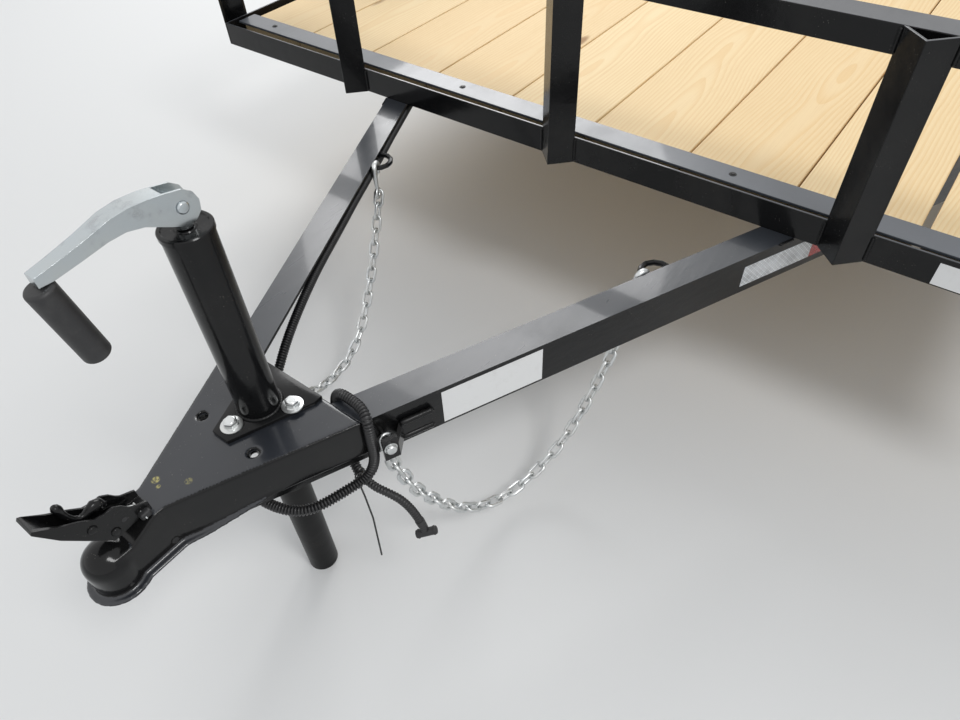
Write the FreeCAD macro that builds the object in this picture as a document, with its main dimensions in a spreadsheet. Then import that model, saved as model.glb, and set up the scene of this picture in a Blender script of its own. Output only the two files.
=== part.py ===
"""Single-axle utility trailer with a timber deck, a tongue jack and a ramp gate.

Millimetres.  +Z up, -Y forward along the tongue, +X to the trailer's left.  The origin is on
the ground, on the centreline, halfway along the trailer.
"""
import FreeCAD, Part
import math
import os
import re

import Sketcher

V = FreeCAD.Vector
Rot = FreeCAD.Rotation

# alias, value, what it is
SIZES = [
    # bed frame
    ("bed_width", 1955.8, "over the outer faces of the side rails"),
    ("bed_length", 3657.6, "over the end rails"),
    ("frame_height", 420.0, "ground to the underside of the frame"),
    ("angle_leg", 50.8, "leg of the frame angle"),
    ("angle_wall", 4.8, "thickness of the frame angle"),
    ("cross_pitch", 609.6, "crossmember spacing from the front face"),
    # deck
    ("plank_width", 192.3, "one deck plank"),
    ("plank_thick", 38.1, "deck plank thickness"),
    ("plank_gap", 3.5, "gap between planks"),
    ("plank_wide_gap", 12.6, "the one wide gap, left of the eighth plank"),
    ("plank_side_gap", 20.0, "gap between the outer planks and the side rails"),
    ("plank_end_gap", 40.0, "plank end to the end rail's outer face"),
    ("strip_width", 50.8, "plank retaining strip"),
    ("strip_wall", 4.8, "retaining strip thickness"),
    ("strip_setback", 24.0, "strip edge to the end rail's outer face"),
    ("strip_skew", 0.5, "degrees, the front strip lies a little askew"),
    # sides
    ("side_clear", 304.8, "deck surface to the top of the top rail"),
    ("top_rail_depth", 50.8, "top rail tube, horizontally"),
    ("top_rail_tall", 38.1, "top rail tube, vertically"),
    ("top_rail_wall", 3.0, "top rail tube wall"),
    ("post_leg", 50.8, "leg of the upright angle"),
    ("post_wall", 4.8, "thickness of the upright angle"),
    ("front_post_pitch", 531.0, "spacing of the three front uprights"),
    ("front_post_shift", -8.5, "middle front upright from the centreline"),
    ("side_post_pitch", 549.0, "spacing of the side uprights ahead of the fender"),
    ("rear_post_pitch", 457.0, "spacing of the side uprights behind the fender"),
    # tongue
    ("beam_wide", 50.8, "tongue beam angle, level leg, which points inwards"),
    ("beam_tall", 76.2, "tongue beam angle, upright leg"),
    ("beam_wall", 4.8, "thickness of the tongue beam angle"),
    ("beam_angle", 24.83, "degrees between a tongue beam and the centreline"),
    ("beam_spread", 449.0, "centreline to a beam's outer face, at the front rail"),
    # coupler, measured forward from the front rail's outer face
    ("coupler_back", 694.0, "back edge of the coupler plate"),
    ("coupler_wall", 5.0, "coupler plate thickness"),
    ("coupler_skirt", 62.0, "depth of the coupler's sides below the beam tops"),
    ("coupler_lip", 11.0, "width of the rolled lip along the skirt"),
    ("lip_reach", 800.0, "where the rolled lip fades out, forward"),
    ("neck_reach", 912.0, "front end of the flat coupler plate"),
    ("neck_half", 25.0, "half width of the coupler at the neck"),
    ("ramp_start", 940.0, "where the neck's top starts to slope down"),
    ("ramp_end", 978.0, "where that slope ends, behind the ball's cover"),
    ("ramp_drop", 14.0, "neck's top below the beam tops at the ball's cover"),
    ("skirt_bend", 820.0, "where the skirt's lower edge starts to slope down"),
    ("skirt_low", 905.0, "where the skirt reaches its full depth"),
    ("ball_reach", 1004.0, "centre of the tow ball"),
    ("ball_drop", 34.0, "centre of the tow ball below the beam tops"),
    ("ball_radius", 25.4, "tow ball"),
    ("ball_clear", 0.6, "play between ball and socket"),
    ("nose_wall", 4.0, "wall of the ball socket"),
    ("socket_depth", 40.0, "socket skirt below the ball's centre"),
    ("spare_hole_x", 51.6, "spare coupler holes from the centreline"),
    ("spare_hole_reach", 809.6, "spare coupler holes, forward"),
    ("spare_hole_radius", 6.5, "spare coupler holes"),
    ("latch_width", 28.0, "over the latch lever's side plates"),
    ("latch_wall", 3.0, "latch lever's plate"),
    # jack
    ("jack_reach", 753.0, "jack axis, forward"),
    ("jack_radius", 28.6, "outer tube radius"),
    ("jack_wall", 3.0, "outer tube wall"),
    ("jack_rise", 300.0, "top of the outer tube above the beam tops"),
    ("jack_drop", 165.0, "bottom of the outer tube below the beam tops"),
    ("jack_play", 0.5, "gap between outer tube and ram"),
    ("ram_wall", 3.0, "ram tube wall"),
    ("ram_overlap", 280.0, "length of ram inside the outer tube, jack as it stands"),
    ("flange_thick", 6.0, "jack flange"),
    ("flange_pcd", 93.0, "bolt circle of the jack flange"),
    ("flange_bolt_radius", 5.5, "jack flange bolts"),
    ("crank_pivot_rise", 327.0, "pivot pin of the crank arm above the beam tops"),
    ("crank_arm_width", 24.0, "width of the channel-shaped crank arm"),
    ("crank_arm_wall", 2.5, "wall of the crank arm"),
    ("crank_grip_radius", 15.0, "grip"),
    ("crank_grip_length", 99.2, "grip"),
    # running gear
    ("axle_setback", 2195.0, "axle behind the front rail's outer face"),
    ("tyre_radius", 344.0, "205/75 R15"),
    ("tyre_width", 203.0, "section width"),
    ("wheel_gap", 132.1, "side rail's outer face to the wheel's middle plane"),
    ("rim_radius", 190.5, "bead seat of a 15 inch rim"),
    ("rim_width", 140.0, "over the rim flanges"),
    ("rim_wall", 4.0, "rim and disc"),
    ("rim_drop", 22.0, "depth of the rim's well"),
    ("flange_rise", 16.5, "rim flange above the bead seat"),
    ("flange_flare", 8.0, "how far a rim flange leans out"),
    ("disc_crown", 100.0, "radius of the disc's crown"),
    ("disc_rise", 24.0, "crown's height above the mounting face"),
    ("disc_bore", 42.0, "centre hole of the disc"),
    ("window_reach", 108.0, "wheel's axis to the inner edge of a disc window"),
    ("window_tall", 40.0, "disc window, radially"),
    ("window_wide", 62.0, "disc window, across"),
    ("lug_pcd", 114.3, "wheel stud circle"),
    ("stud_radius", 6.5, "wheel stud"),
    ("nut_radius", 11.0, "wheel nut over its corners"),
    ("hub_flange", 74.0, "radius of the hub's flange"),
    ("hub_barrel", 40.0, "radius of the hub behind its flange"),
    ("hub_depth", 68.0, "mounting face to the hub's back end"),
    ("cap_radius", 33.0, "bearing cap"),
    ("cap_reach", 54.0, "mounting face to the bearing cap's end"),
    ("axle_radius", 30.15, "axle tube"),
    ("axle_wall", 6.0, "axle tube wall"),
    ("spindle_radius", 17.5, "stub axle"),
    ("bearing_play", 0.05, "radial gap of a hub on its spindle"),
    ("spring_inset", 25.4, "side rail's outer face to the spring's middle"),
    ("spring_width", 44.5, "leaf width"),
    ("leaf_thick", 6.5, "leaf thickness"),
    ("leaf_bend", 1446.0, "radius of the main leaf"),
    ("spring_reach", 320.0, "axle to the end of the main leaf"),
    ("eye_radius", 14.0, "outside of a spring eye"),
    ("eye_bolt_radius", 6.9, "spring eye bolt"),
    ("shackle_rise", 48.0, "rear spring eye to the hanger bolt, upwards"),
    ("shackle_lean", 22.0, "rear spring eye to the hanger bolt, rearwards"),
    ("fender_width", 248.0, "over the fender"),
    ("fender_half", 462.0, "half length of the fender at its foot"),
    ("fender_flat", 300.0, "half length of the fender's flat top"),
    ("fender_crown", 752.0, "fender's top above the ground"),
    ("fender_foot", 436.0, "fender's lower ends above the ground"),
    ("fender_wall", 3.0, "fender sheet"),
    ("fender_skirt", 46.0, "depth of the fender's outer lip"),
    # gate
    ("gate_height", 1219.2, "over the gate frame"),
    ("gate_side_gap", 22.9, "gate frame to the side rail's outer face, in plan"),
    ("gate_tube", 38.1, "gate frame tube"),
    ("gate_wall", 3.0, "wall of the gate tubes"),
    ("gate_gap", 6.0, "gate to the rear rail"),
    ("gate_pin_back", 22.0, "hinge pin behind the gate's middle plane"),
    ("gate_pin_radius", 8.0, "hinge pin"),
    ("gate_pin_rise", 25.4, "hinge pin above the frame's underside"),
    ("gate_foot_gap", 24.0, "hinge pin to the gate's bottom tube"),
    ("rung_pitch", 92.0, "spacing of the gate's rungs"),
    ("rung_leg", 31.75, "leg of the rung angle"),
    ("rung_wall", 3.2, "thickness of the rung angle"),
    # chains and wiring
    ("link_pitch", 26.5, "inside length of a chain link"),
    ("link_wire", 6.0, "diameter of the link's wire"),
    ("link_width", 22.5, "outside width of a chain link"),
    ("ring_reach", 238.0, "middle of a chain ring, forward along its beam"),
    ("ring_bend", 25.0, "radius of a chain ring's bend"),
    ("ring_wire", 4.8, "radius of a chain ring's bar"),
    ("ring_drop", 9.0, "chain ring's bar below the beam tops"),
    ("lug_bolt_reach", 740.0, "chain bolt, forward along the beam"),
    ("lug_bolt_drop", 34.0, "chain bolt below the beam tops"),
    ("lug_bolt_radius", 4.0, "chain bolt"),
    ("lug_stand_off", 26.0, "chain strap's free end to the beam"),
    ("lug_wall", 6.0, "chain strap thickness"),
    ("lug_top", 30.0, "welded part of the chain strap below the beam tops"),
    ("lug_tall", 28.0, "welded part of the chain strap"),
    ("pad_rise", 14.0, "free end of the chain strap above its welded part"),
    ("loom_radius", 7.5, "corrugated wiring loom, over its corners"),
    ("pigtail_radius", 5.6, "free end of the wiring, over its corners"),
]

doc = FreeCAD.newDocument("utility_trailer")
sheet = doc.addObject("Spreadsheet::Sheet", "sizes")
sheet.Label = "sizes"
for row, (alias, value, meaning) in enumerate(SIZES, start=1):
    sheet.set("A%d" % row, alias)
    sheet.set("B%d" % row, repr(value))
    sheet.setAlias("B%d" % row, alias)
    sheet.set("C%d" % row, meaning)
doc.recompute()


class Sizes:
    """The sheet's values as numbers, for shapes that are made in code."""

    def __getattr__(self, alias):
        return float(sheet.get(alias))


S = Sizes()
ALIASES = {row[0] for row in SIZES}
NODES = []


def ref(text):
    """Turn plain alias names in an expression into references to the sheet."""
    return re.sub(r"[A-Za-z_]\w*", lambda m: "<<sizes>>." + m.group(0) if m.group(0) in ALIASES else m.group(0), text)


def bind(obj, **expressions):
    """Bind properties; a key's double underscores stand for dots."""
    for key, text in expressions.items():
        obj.setExpression(key.replace("__", "."), ref(text))


def place(obj, x, y, z, rotation=None):
    """Give an object its rotation and bind its position."""
    if rotation:
        obj.Placement = FreeCAD.Placement(V(0, 0, 0), rotation)
    bind(obj, Placement__Base__x=x, Placement__Base__y=y, Placement__Base__z=z)


def node(obj, label):
    """Name a finished sub-part, which is also the name of its file."""
    obj.Label = label
    NODES.append(obj)
    return obj


def box(name, size, corner):
    """A box from three size and three corner expressions."""
    obj = doc.addObject("Part::Box", name)
    bind(obj, Length=size[0], Width=size[1], Height=size[2])
    place(obj, *corner)
    return obj


AXES = {"x": Rot(V(0, 1, 0), 90), "y": Rot(V(1, 0, 0), -90), "z": Rot()}


def rod(name, radius, length, start, axis="z"):
    """A cylinder that starts at a point and runs along +X, +Y or +Z."""
    obj = doc.addObject("Part::Cylinder", name)
    bind(obj, Radius=radius, Height=length)
    place(obj, *start, rotation=AXES[axis])
    return obj


def hexagon(name, radius, length, start, axis="z"):
    """A six-sided bar, by its corners' radius, placed as a rod is."""
    obj = doc.addObject("Part::Prism", name)
    obj.Polygon = 6
    bind(obj, Circumradius=radius, Height=length)
    place(obj, *start, rotation=AXES[axis])
    return obj


def cut(name, base, tool):
    """Base less tool."""
    obj = doc.addObject("Part::Cut", name)
    obj.Base, obj.Tool = base, tool
    return obj


def fuse(name, shapes):
    """Several touching shapes as one solid."""
    obj = doc.addObject("Part::MultiFuse", name)
    obj.Shapes = shapes
    return obj


def group(name, shapes):
    """Several shapes that don't touch, as one sub-part."""
    obj = doc.addObject("Part::Compound", name)
    obj.Links = shapes
    return obj


def body(name):
    return doc.addObject("PartDesign::Body", name)


def profile(owner, name, plane, points):
    """A closed sketch whose corners are bound to pairs of expressions."""
    sketch = owner.newObject("Sketcher::SketchObject", name)
    sketch.AttachmentSupport = ([f for f in owner.Origin.OriginFeatures if f.Role == plane][0], "")
    sketch.MapMode = "FlatFace"
    count = len(points)
    ring = [V(math.cos(2 * math.pi * i / count), math.sin(2 * math.pi * i / count), 0) for i in range(count)]
    sketch.addGeometry([Part.LineSegment(ring[i], ring[(i + 1) % count]) for i in range(count)], False)
    for i, (x, y) in enumerate(points):
        sketch.addConstraint(Sketcher.Constraint("Coincident", i, 2, (i + 1) % count, 1))
        for kind, text in (("DistanceX", x), ("DistanceY", y)):
            start = ring[i].x if kind == "DistanceX" else ring[i].y
            index = sketch.addConstraint(Sketcher.Constraint(kind, -1, 1, i, 1, start))
            sketch.setExpression("Constraints[%d]" % index, ref(text))
    return sketch


def pad(owner, name, sketch, length, reverse=False, midplane=False):
    feature = owner.newObject("PartDesign::Pad", name)
    feature.Profile = sketch
    feature.Reversed = reverse
    feature.Midplane = midplane
    bind(feature, Length=length)
    sketch.Visibility = False
    return feature


def prism(name, plane, points, length, at=("0", "0", "0"), reverse=False, midplane=False):
    """A body with one padded profile."""
    owner = body(name)
    pad(owner, name + "_pad", profile(owner, name + "_profile", plane, points), length, reverse, midplane)
    place(owner, *at)
    return owner


def mirrored(name, source):
    """The right-hand twin of a left-hand piece."""
    obj = doc.addObject("Part::Mirroring", name)
    obj.Source = source
    obj.Normal = V(1, 0, 0)
    obj.Base = V(0, 0, 0)
    return obj


def made(name, shape):
    """A shape made in code from the sheet's values."""
    obj = doc.addObject("Part::Feature", name)
    obj.Shape = shape
    return obj


def polygon_tube(points, radius, sides=6, closed=False, across=None):
    """A bar of a polygon's section with mitred corners, which keeps its faces flat; a closed one lies in a plane."""
    count = len(points)
    runs = [(points[(i + 1) % count] - points[i]).normalize() for i in range(count if closed else count - 1)]
    if closed:
        mitres = [(runs[i - 1] + runs[i]).normalize() for i in range(count)]
    else:
        mitres = [runs[0]] + [(a + b).normalize() for a, b in zip(runs, runs[1:])] + [runs[-1]]
    if across is None:
        across = runs[0].cross(V(1, 0, 0) if abs(runs[0].z) > 0.9 else V(0, 0, 1)).normalize()
    other = runs[0].cross(across)

    def slid(corner, i, run):
        return corner + run * ((points[i] - corner).dot(mitres[i]) / run.dot(mitres[i]))

    turns = [2 * math.pi * k / sides for k in range(sides)]
    rings = [[slid(points[0] + (across * math.cos(t) + other * math.sin(t)) * radius, 0, runs[0]) for t in turns]]
    for i in range(1, count):
        rings.append([slid(corner, i, runs[i - 1]) for corner in rings[-1]])
    faces = []
    for a, b in zip(rings, rings[1:] + (rings[:1] if closed else [])):
        for k in range(sides):
            n = (k + 1) % sides
            faces.append(Part.Face(Part.makePolygon([a[k], b[k], b[n], a[n], a[k]])))
    if not closed:
        faces += [Part.Face(Part.makePolygon(ring + ring[:1])) for ring in (rings[0], rings[-1])]
    shell = Part.Shell(faces)
    shell.sewShape()
    solid = Part.Solid(shell)
    return solid if solid.Volume > 0 else solid.reversed()


def arc(centre, radius, start, end, count, first, second):
    """Points on an arc, by angles in degrees from the first direction towards the second."""
    found = []
    for i in range(count + 1):
        turn = math.radians(start + (end - start) * i / count)
        found.append(centre + first * (radius * math.cos(turn)) + second * (radius * math.sin(turn)))
    return found


# Stations, as expressions.  The overall length runs from the coupler's lip to the gate's hinge lugs.
LUG_BACK = "gate_gap + gate_tube / 2 + gate_pin_back + gate_pin_radius + 6"
NOSE = "(ball_reach + ball_radius + ball_clear + nose_wall + coupler_lip)"
FRONT = "((%s - bed_length - (%s)) / 2)" % (NOSE, LUG_BACK)
REAR = "(%s + bed_length)" % FRONT
BASE = "frame_height"
DECK = "(frame_height + angle_wall + plank_thick)"
RAIL_TOP = "(%s + side_clear)" % DECK
HALF = "bed_width / 2"
GATE_HALF = "(bed_width / 2 - gate_side_gap)"


def front_y():
    """FRONT as a number."""
    nose = S.ball_reach + S.ball_radius + S.ball_clear + S.nose_wall + S.coupler_lip
    return (nose - S.bed_length - (S.gate_gap + S.gate_tube / 2 + S.gate_pin_back + S.gate_pin_radius + 6)) / 2


Y0 = front_y()
Z0 = S.frame_height
WHEEL_X = S.bed_width / 2 + S.wheel_gap


def bed_frame():
    """Angle side rails at full length, end rails between them, crossmembers level with their lower legs."""
    ell = [("0", "0"), ("0", "angle_leg"), ("-angle_wall", "angle_leg"), ("-angle_wall", "angle_wall"),
           ("-angle_leg", "angle_wall"), ("-angle_leg", "0")]
    left = prism("side_rail_l", "XZ_Plane", ell, "bed_length", (HALF, FRONT, BASE), reverse=True)
    node(left, "side_rail_left")
    node(mirrored("side_rail_r", left), "side_rail_right")
    for label, outer, inner in (("front_rail", FRONT, FRONT),
                                ("rear_rail", "%s - angle_wall" % REAR, "%s - angle_leg" % REAR)):
        upright = box(label + "_web", ("bed_width - 2 * angle_wall", "angle_wall", "angle_leg - angle_wall"),
                      ("angle_wall - " + HALF, outer, "frame_height + angle_wall"))
        ledge = box(label + "_ledge", ("bed_width - 2 * angle_leg", "angle_leg", "angle_wall"),
                    ("angle_leg - " + HALF, inner, BASE))
        node(fuse(label + "_angle", [upright, ledge]), label)
    members = []
    for i in range(int((S.bed_length - 2 * S.angle_leg) // S.cross_pitch)):
        at = "%s + cross_pitch * %d" % (FRONT, i + 1)
        top = box("cross_top_%d" % i, ("bed_width - 2 * angle_leg", "angle_leg", "angle_wall"),
                  ("angle_leg - " + HALF, at, BASE))
        web = box("cross_web_%d" % i, ("bed_width - 2 * angle_leg", "angle_wall", "angle_leg - angle_wall"),
                  ("angle_leg - " + HALF, at, "frame_height + angle_wall - angle_leg"))
        members.append(fuse("cross_%d" % i, [top, web]))
    return members


def beam_box(name, width, inset, height, drop, length, ahead):
    """A box beside the left beam's outer face; ahead and length run along the beam."""
    obj = doc.addObject("Part::Box", name)
    bind(obj, Length=width, Width=length, Height=height)
    obj.Placement = FreeCAD.Placement(V(0, 0, 0), Rot(V(0, 0, 1), -S.beam_angle))
    side, fore = "(%s + %s)" % (width, inset), "(%s)" % ahead
    bind(obj, Placement__Rotation__Angle="-beam_angle",
         Placement__Base__x="beam_spread - %s * cos(beam_angle) - %s * sin(beam_angle)" % (side, fore),
         Placement__Base__y="%s + %s * sin(beam_angle) - %s * cos(beam_angle)" % (FRONT, side, fore),
         Placement__Base__z="frame_height - " + drop)
    return obj


ANGLE = math.radians(S.beam_angle)
ALONG = V(math.sin(ANGLE), math.cos(ANGLE), 0)
OUTWARD = V(math.cos(ANGLE), -math.sin(ANGLE), 0)


def on_beam(forward, inward, z):
    """A point by its distance forward along the left beam, inwards from its outer face and up from its top."""
    return V(S.beam_spread, Y0, Z0 + z) - ALONG * forward - OUTWARD * inward


def chain_ring():
    """A U-shaped bar welded under a beam's level leg, open towards the upright leg."""
    r, z = S.ring_bend, -S.ring_drop
    turn = S.beam_wide + 3
    bow = arc(on_beam(S.ring_reach, turn, z), r, 0, 180, 6, -ALONG, -OUTWARD)
    root = S.beam_wall / 2
    path = [on_beam(S.ring_reach + r, root, z)] + bow + [on_beam(S.ring_reach - r, root, z)]
    return polygon_tube(path, S.ring_wire, 8)


def tongue(members):
    """Two angles that run back under the frame to the side rails; the first crossmember is notched over them."""
    ahead = "(coupler_back + 420)"
    length = "coupler_back + bed_width"
    level = beam_box("beam_level", "beam_wide", "0", "beam_wall", "beam_wall", length, ahead)
    upright = beam_box("beam_upright", "beam_wall", "0", "beam_tall", "beam_tall", length, ahead)
    tube = fuse("beam_angle_bar", [level, upright])
    span = box("beam_span", (HALF + " - angle_wall - 1", "bed_length", "beam_tall"),
               ("1", "%s - neck_reach + 12" % FRONT, "frame_height - beam_tall"))
    bare = doc.addObject("Part::Common", "beam_bare")
    bare.Base, bare.Tool = tube, span
    drill = rod("beam_drill", "spare_hole_radius", "beam_tall",
                ("spare_hole_x", "%s - spare_hole_reach" % FRONT, "frame_height - beam_tall / 2"))
    left = fuse("beam_left", [cut("beam_drilled", bare, drill), made("chain_ring", chain_ring())])
    node(left, "tongue_beam_left")
    node(mirrored("beam_right", left), "tongue_beam_right")
    notched = []
    swath = beam_box("beam_swath", "beam_wide", "0", "beam_tall", "beam_tall", length, ahead)
    swath_right = mirrored("beam_swath_right", swath)
    for i, member in enumerate(members):
        if S.cross_pitch * (i + 1) < (S.bed_width / 2 - S.beam_spread) / math.tan(ANGLE):
            member = cut("cross_notched_r%d" % i, cut("cross_notched_l%d" % i, member, swath), swath_right)
        notched.append(member)
    node(group("crossmember_set", notched), "crossmembers")


# the wide gap is left of this board, where the outermost one on the right is number 0
WIDE_AFTER = 7


def deck():
    """Planks along the bed on the crossmembers, held down at both ends by a strip."""
    planks = []
    y = "%s + plank_end_gap" % FRONT
    z = "frame_height + angle_wall"
    start = "plank_side_gap + angle_wall - " + HALF
    length = "bed_length - 2 * plank_end_gap"
    pitch = S.plank_width + S.plank_gap
    clear = S.bed_width - 2 * S.angle_wall - 2 * S.plank_side_gap
    count = int((clear - (S.plank_wide_gap - S.plank_gap)) // pitch)
    widen = " + plank_wide_gap - plank_gap"
    for i in range(count):
        at = "%s + %d * (plank_width + plank_gap)%s" % (start, i, widen if i > WIDE_AFTER else "")
        planks.append(box("plank_%d" % i, ("plank_width", length, "plank_thick"), (at, y, z)))
    # what is left beside the last whole board is filled with a ripped one, unless it is only a sliver
    used = "%d * (plank_width + plank_gap)%s" % (count, widen if count > WIDE_AFTER else "")
    if clear - count * pitch - (S.plank_wide_gap - S.plank_gap) > S.plank_thick:
        rest = "bed_width - 2 * angle_wall - 2 * plank_side_gap - (%s)" % used
        planks.append(box("plank_last", (rest, length, "plank_thick"), ("%s + %s" % (start, used), y, z)))
    node(group("planks", planks), "deck_planks")
    span = "bed_width - 2 * angle_wall - 16"
    front = doc.addObject("Part::Box", "strip_f")
    bind(front, Length=span, Width="strip_width", Height="strip_wall")
    front.Placement = FreeCAD.Placement(V(0, 0, 0), Rot(V(0, 0, 1), -S.strip_skew))
    place_skew = "bed_width / 2 * sin(strip_skew)"
    bind(front, Placement__Rotation__Angle="-strip_skew", Placement__Base__x="-(%s) / 2" % span,
         Placement__Base__y="%s + strip_setback + %s" % (FRONT, place_skew), Placement__Base__z=DECK)
    node(front, "plank_strip_front")
    node(box("strip_r", (span, "strip_width", "strip_wall"),
             ("-(%s) / 2" % span, "%s - strip_setback - strip_width" % REAR, DECK)), "plank_strip_rear")


def post(name, x, y, turn):
    """An upright angle whose two toes touch a face and whose heel stands off it, like a V in plan."""
    obj = body(name)
    leg, wall = "post_leg", "post_wall"
    d = " / sqrt(2)"
    points = [("0", "(%s)%s" % (leg, d)), ("%s%s" % (leg, d), "0"),
              ("(%s - %s)%s" % (leg, wall, d), "-(%s)%s" % (wall, d)),
              ("0", "(%s - 2 * %s)%s" % (leg, wall, d)),
              ("-(%s - %s)%s" % (leg, wall, d), "-(%s)%s" % (wall, d)), ("-%s%s" % (leg, d), "0")]
    sketch = profile(obj, name + "_profile", "XY_Plane", points)
    pad(obj, name + "_pad", sketch, "%s - frame_height" % RAIL_TOP)
    place(obj, x, y, BASE, Rot(V(0, 0, 1), turn))
    # the toes are trimmed flush with the face they are welded to
    trim = box(name + "_trim", ("3 * post_leg", "3 * post_leg", "3 * post_leg + side_clear"), ("0", "0", "0"))
    if turn == 180:
        place(trim, "%s - 1.5 * post_leg" % x, y, BASE)
    else:
        place(trim, "%s - 3 * post_leg" % x, "%s - 1.5 * post_leg" % y, BASE)
    return cut(name + "_trimmed", obj, trim)


def sides():
    """Uprights on the outside of the rails, and a tube rail on top of them."""
    posts = [post("front_post_%d" % i, "front_post_shift + %d * front_post_pitch" % i, FRONT, 180) for i in (-1, 0, 1)]
    node(group("front_posts", posts), "front_uprights")
    half_v = "post_leg / sqrt(2)"
    stations = [half_v + " + %d * side_post_pitch" % i for i in range(4)]
    stations += ["bed_length - %s - %d * rear_post_pitch" % (half_v, i) for i in range(3)]
    posts = [post("side_post_%d" % i, HALF, "%s + %s" % (FRONT, at), -90) for i, at in enumerate(stations)]
    left = group("side_posts_l", posts)
    node(left, "side_uprights_left")
    node(mirrored("side_posts_r", left), "side_uprights_right")
    z = "%s - top_rail_tall" % RAIL_TOP
    depth, wall = "top_rail_depth", "top_rail_wall"
    outer = box("top_l_outer", (depth, "bed_length", "top_rail_tall"), (HALF + " - top_rail_depth", FRONT, z))
    bore = box("top_l_bore", (depth + " - 2 * " + wall, "bed_length", "top_rail_tall - 2 * " + wall),
               (HALF + " - top_rail_depth + " + wall, FRONT + " + " + wall, z + " + " + wall))
    left = cut("top_rail_l", outer, bore)
    node(left, "top_rail_left")
    node(mirrored("top_rail_r", left), "top_rail_right")
    outer = box("top_f_outer", ("bed_width - 2 * top_rail_depth", depth, "top_rail_tall"),
                ("top_rail_depth - " + HALF, FRONT, z))
    bore = box("top_f_bore", ("bed_width", depth + " - 2 * " + wall, "top_rail_tall - 2 * " + wall),
               ("-" + HALF, FRONT + " + " + wall, z + " + " + wall))
    node(cut("top_rail_f", outer, bore), "top_rail_front")


def coupler():
    """A pressed A-frame coupler: a flat plate with skirts along both beams that draws in to a ball socket."""
    slope = math.tan(ANGLE)
    back = Y0 - S.coupler_back
    ball = V(0, Y0 - S.ball_reach, Z0 - S.ball_drop)
    wall = S.coupler_wall
    skin = wall / math.cos(ANGLE)
    floor = S.ball_drop + S.socket_depth
    wide = S.beam_spread

    def slab(half_back, y_back, half_front):
        """An upright prism whose sides follow the beams until they are half_front from the centreline."""
        y_bend = y_back - (half_back - half_front) / slope
        side = [(half_back, y_back), (half_front, y_bend)]
        ring = [V(x, y, Z0 - 2 * floor) for x, y in side] + [V(-x, y, Z0 - 2 * floor) for x, y in reversed(side)]
        return Part.Face(Part.makePolygon(ring + ring[:1])).extrude(V(0, 0, 3 * floor)), y_bend

    def side_prism(outline, half):
        """A prism across the centreline from corners as forward and height from the beam tops."""
        ring = [V(-half, Y0 - forward, Z0 + z) for forward, z in outline]
        return Part.Face(Part.makePolygon(ring + ring[:1])).extrude(V(2 * half, 0, 0))

    def dome(radius, depth):
        """The ball's cover: half a globe in four steps over an upright skirt."""
        rim = [V(0, ball.y + radius * math.sin(t), ball.z + radius * math.cos(t)) for t in
               (math.radians(22.5 * i) for i in range(5))]
        ring = rim + [V(0, ball.y + radius, ball.z - depth), V(0, ball.y, ball.z - depth)]
        solid = Part.Face(Part.makePolygon(ring + ring[:1])).revolve(ball, V(0, 0, 1), 360)
        return solid if solid.Volume > 0 else solid.reversed()

    low = [(S.coupler_back - 2, -S.coupler_skirt), (S.skirt_bend, -S.coupler_skirt), (S.skirt_low, -floor),
           (S.ball_reach, -floor)]
    half_back = S.beam_spread - S.coupler_back * slope
    outer, bend = slab(half_back + skin, back, S.neck_half)
    inner, inner_bend = slab(half_back + slope, back + 1, S.neck_half - wall)
    neck_start, neck_top = Y0 - bend, [(S.ramp_start, wall), (S.ramp_end, -S.ramp_drop), (S.ball_reach, -S.ramp_drop)]
    skirts = outer.common(side_prism(low + [(S.ball_reach, wall), (S.coupler_back - 2, wall)], wide))
    neck = side_prism([(neck_start, wall)] + neck_top + [(S.ball_reach, -floor), (neck_start, -floor)], S.neck_half)
    inside = inner.common(side_prism([(S.coupler_back - 2, 0), (S.ball_reach, 0), (S.ball_reach, -2 * floor),
                                      (S.coupler_back - 2, -2 * floor)], wide))
    under_ramp = [(forward - (2 if z == wall else 0), z - wall) for forward, z in neck_top]
    neck_hollow = side_prism([(Y0 - inner_bend - 1, 0)] + under_ramp
                             + [(S.ball_reach, -2 * floor), (Y0 - inner_bend - 1, -2 * floor)], S.neck_half - wall)
    socket = S.ball_radius + S.ball_clear
    nose = socket + S.nose_wall
    # the rolled lip runs round the socket and fades out along both skirts
    band = side_prism(low + [(forward, z + wall) for forward, z in reversed(low)], wide)
    fade = (S.beam_spread - S.lip_reach * slope + skin, Y0 - S.lip_reach)
    reach = S.neck_half + S.coupler_lip
    ring = [V(x, y, Z0 - 2 * floor) for x, y in ((fade[0], fade[1]), (reach, bend), (reach, ball.y), (-reach, ball.y),
                                                 (-reach, bend), (-fade[0], fade[1]))]
    flange = Part.Face(Part.makePolygon(ring + ring[:1])).extrude(V(0, 0, 3 * floor)).common(band)
    rim = Part.makeCylinder(nose + S.coupler_lip, wall, V(0, ball.y, Z0 - floor))
    shell = skirts.fuse([neck, dome(nose, S.socket_depth), flange, rim]).cut(inside).cut(neck_hollow)
    # the socket's steps stay outside the ball
    shell = shell.cut(dome(socket / math.cos(math.radians(11.25)), S.socket_depth + 1))
    holes = [(0, S.jack_reach, S.jack_radius + 0.3), (S.spare_hole_x, S.spare_hole_reach, S.spare_hole_radius),
             (-S.spare_hole_x, S.spare_hole_reach, S.spare_hole_radius)]
    for x, forward, radius in holes:
        shell = shell.cut(Part.makeCylinder(radius, 60, V(x, Y0 - forward, Z0 - 20)))
    node(made("coupler_shell", shell.removeSplitter()), "coupler_body")


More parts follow.
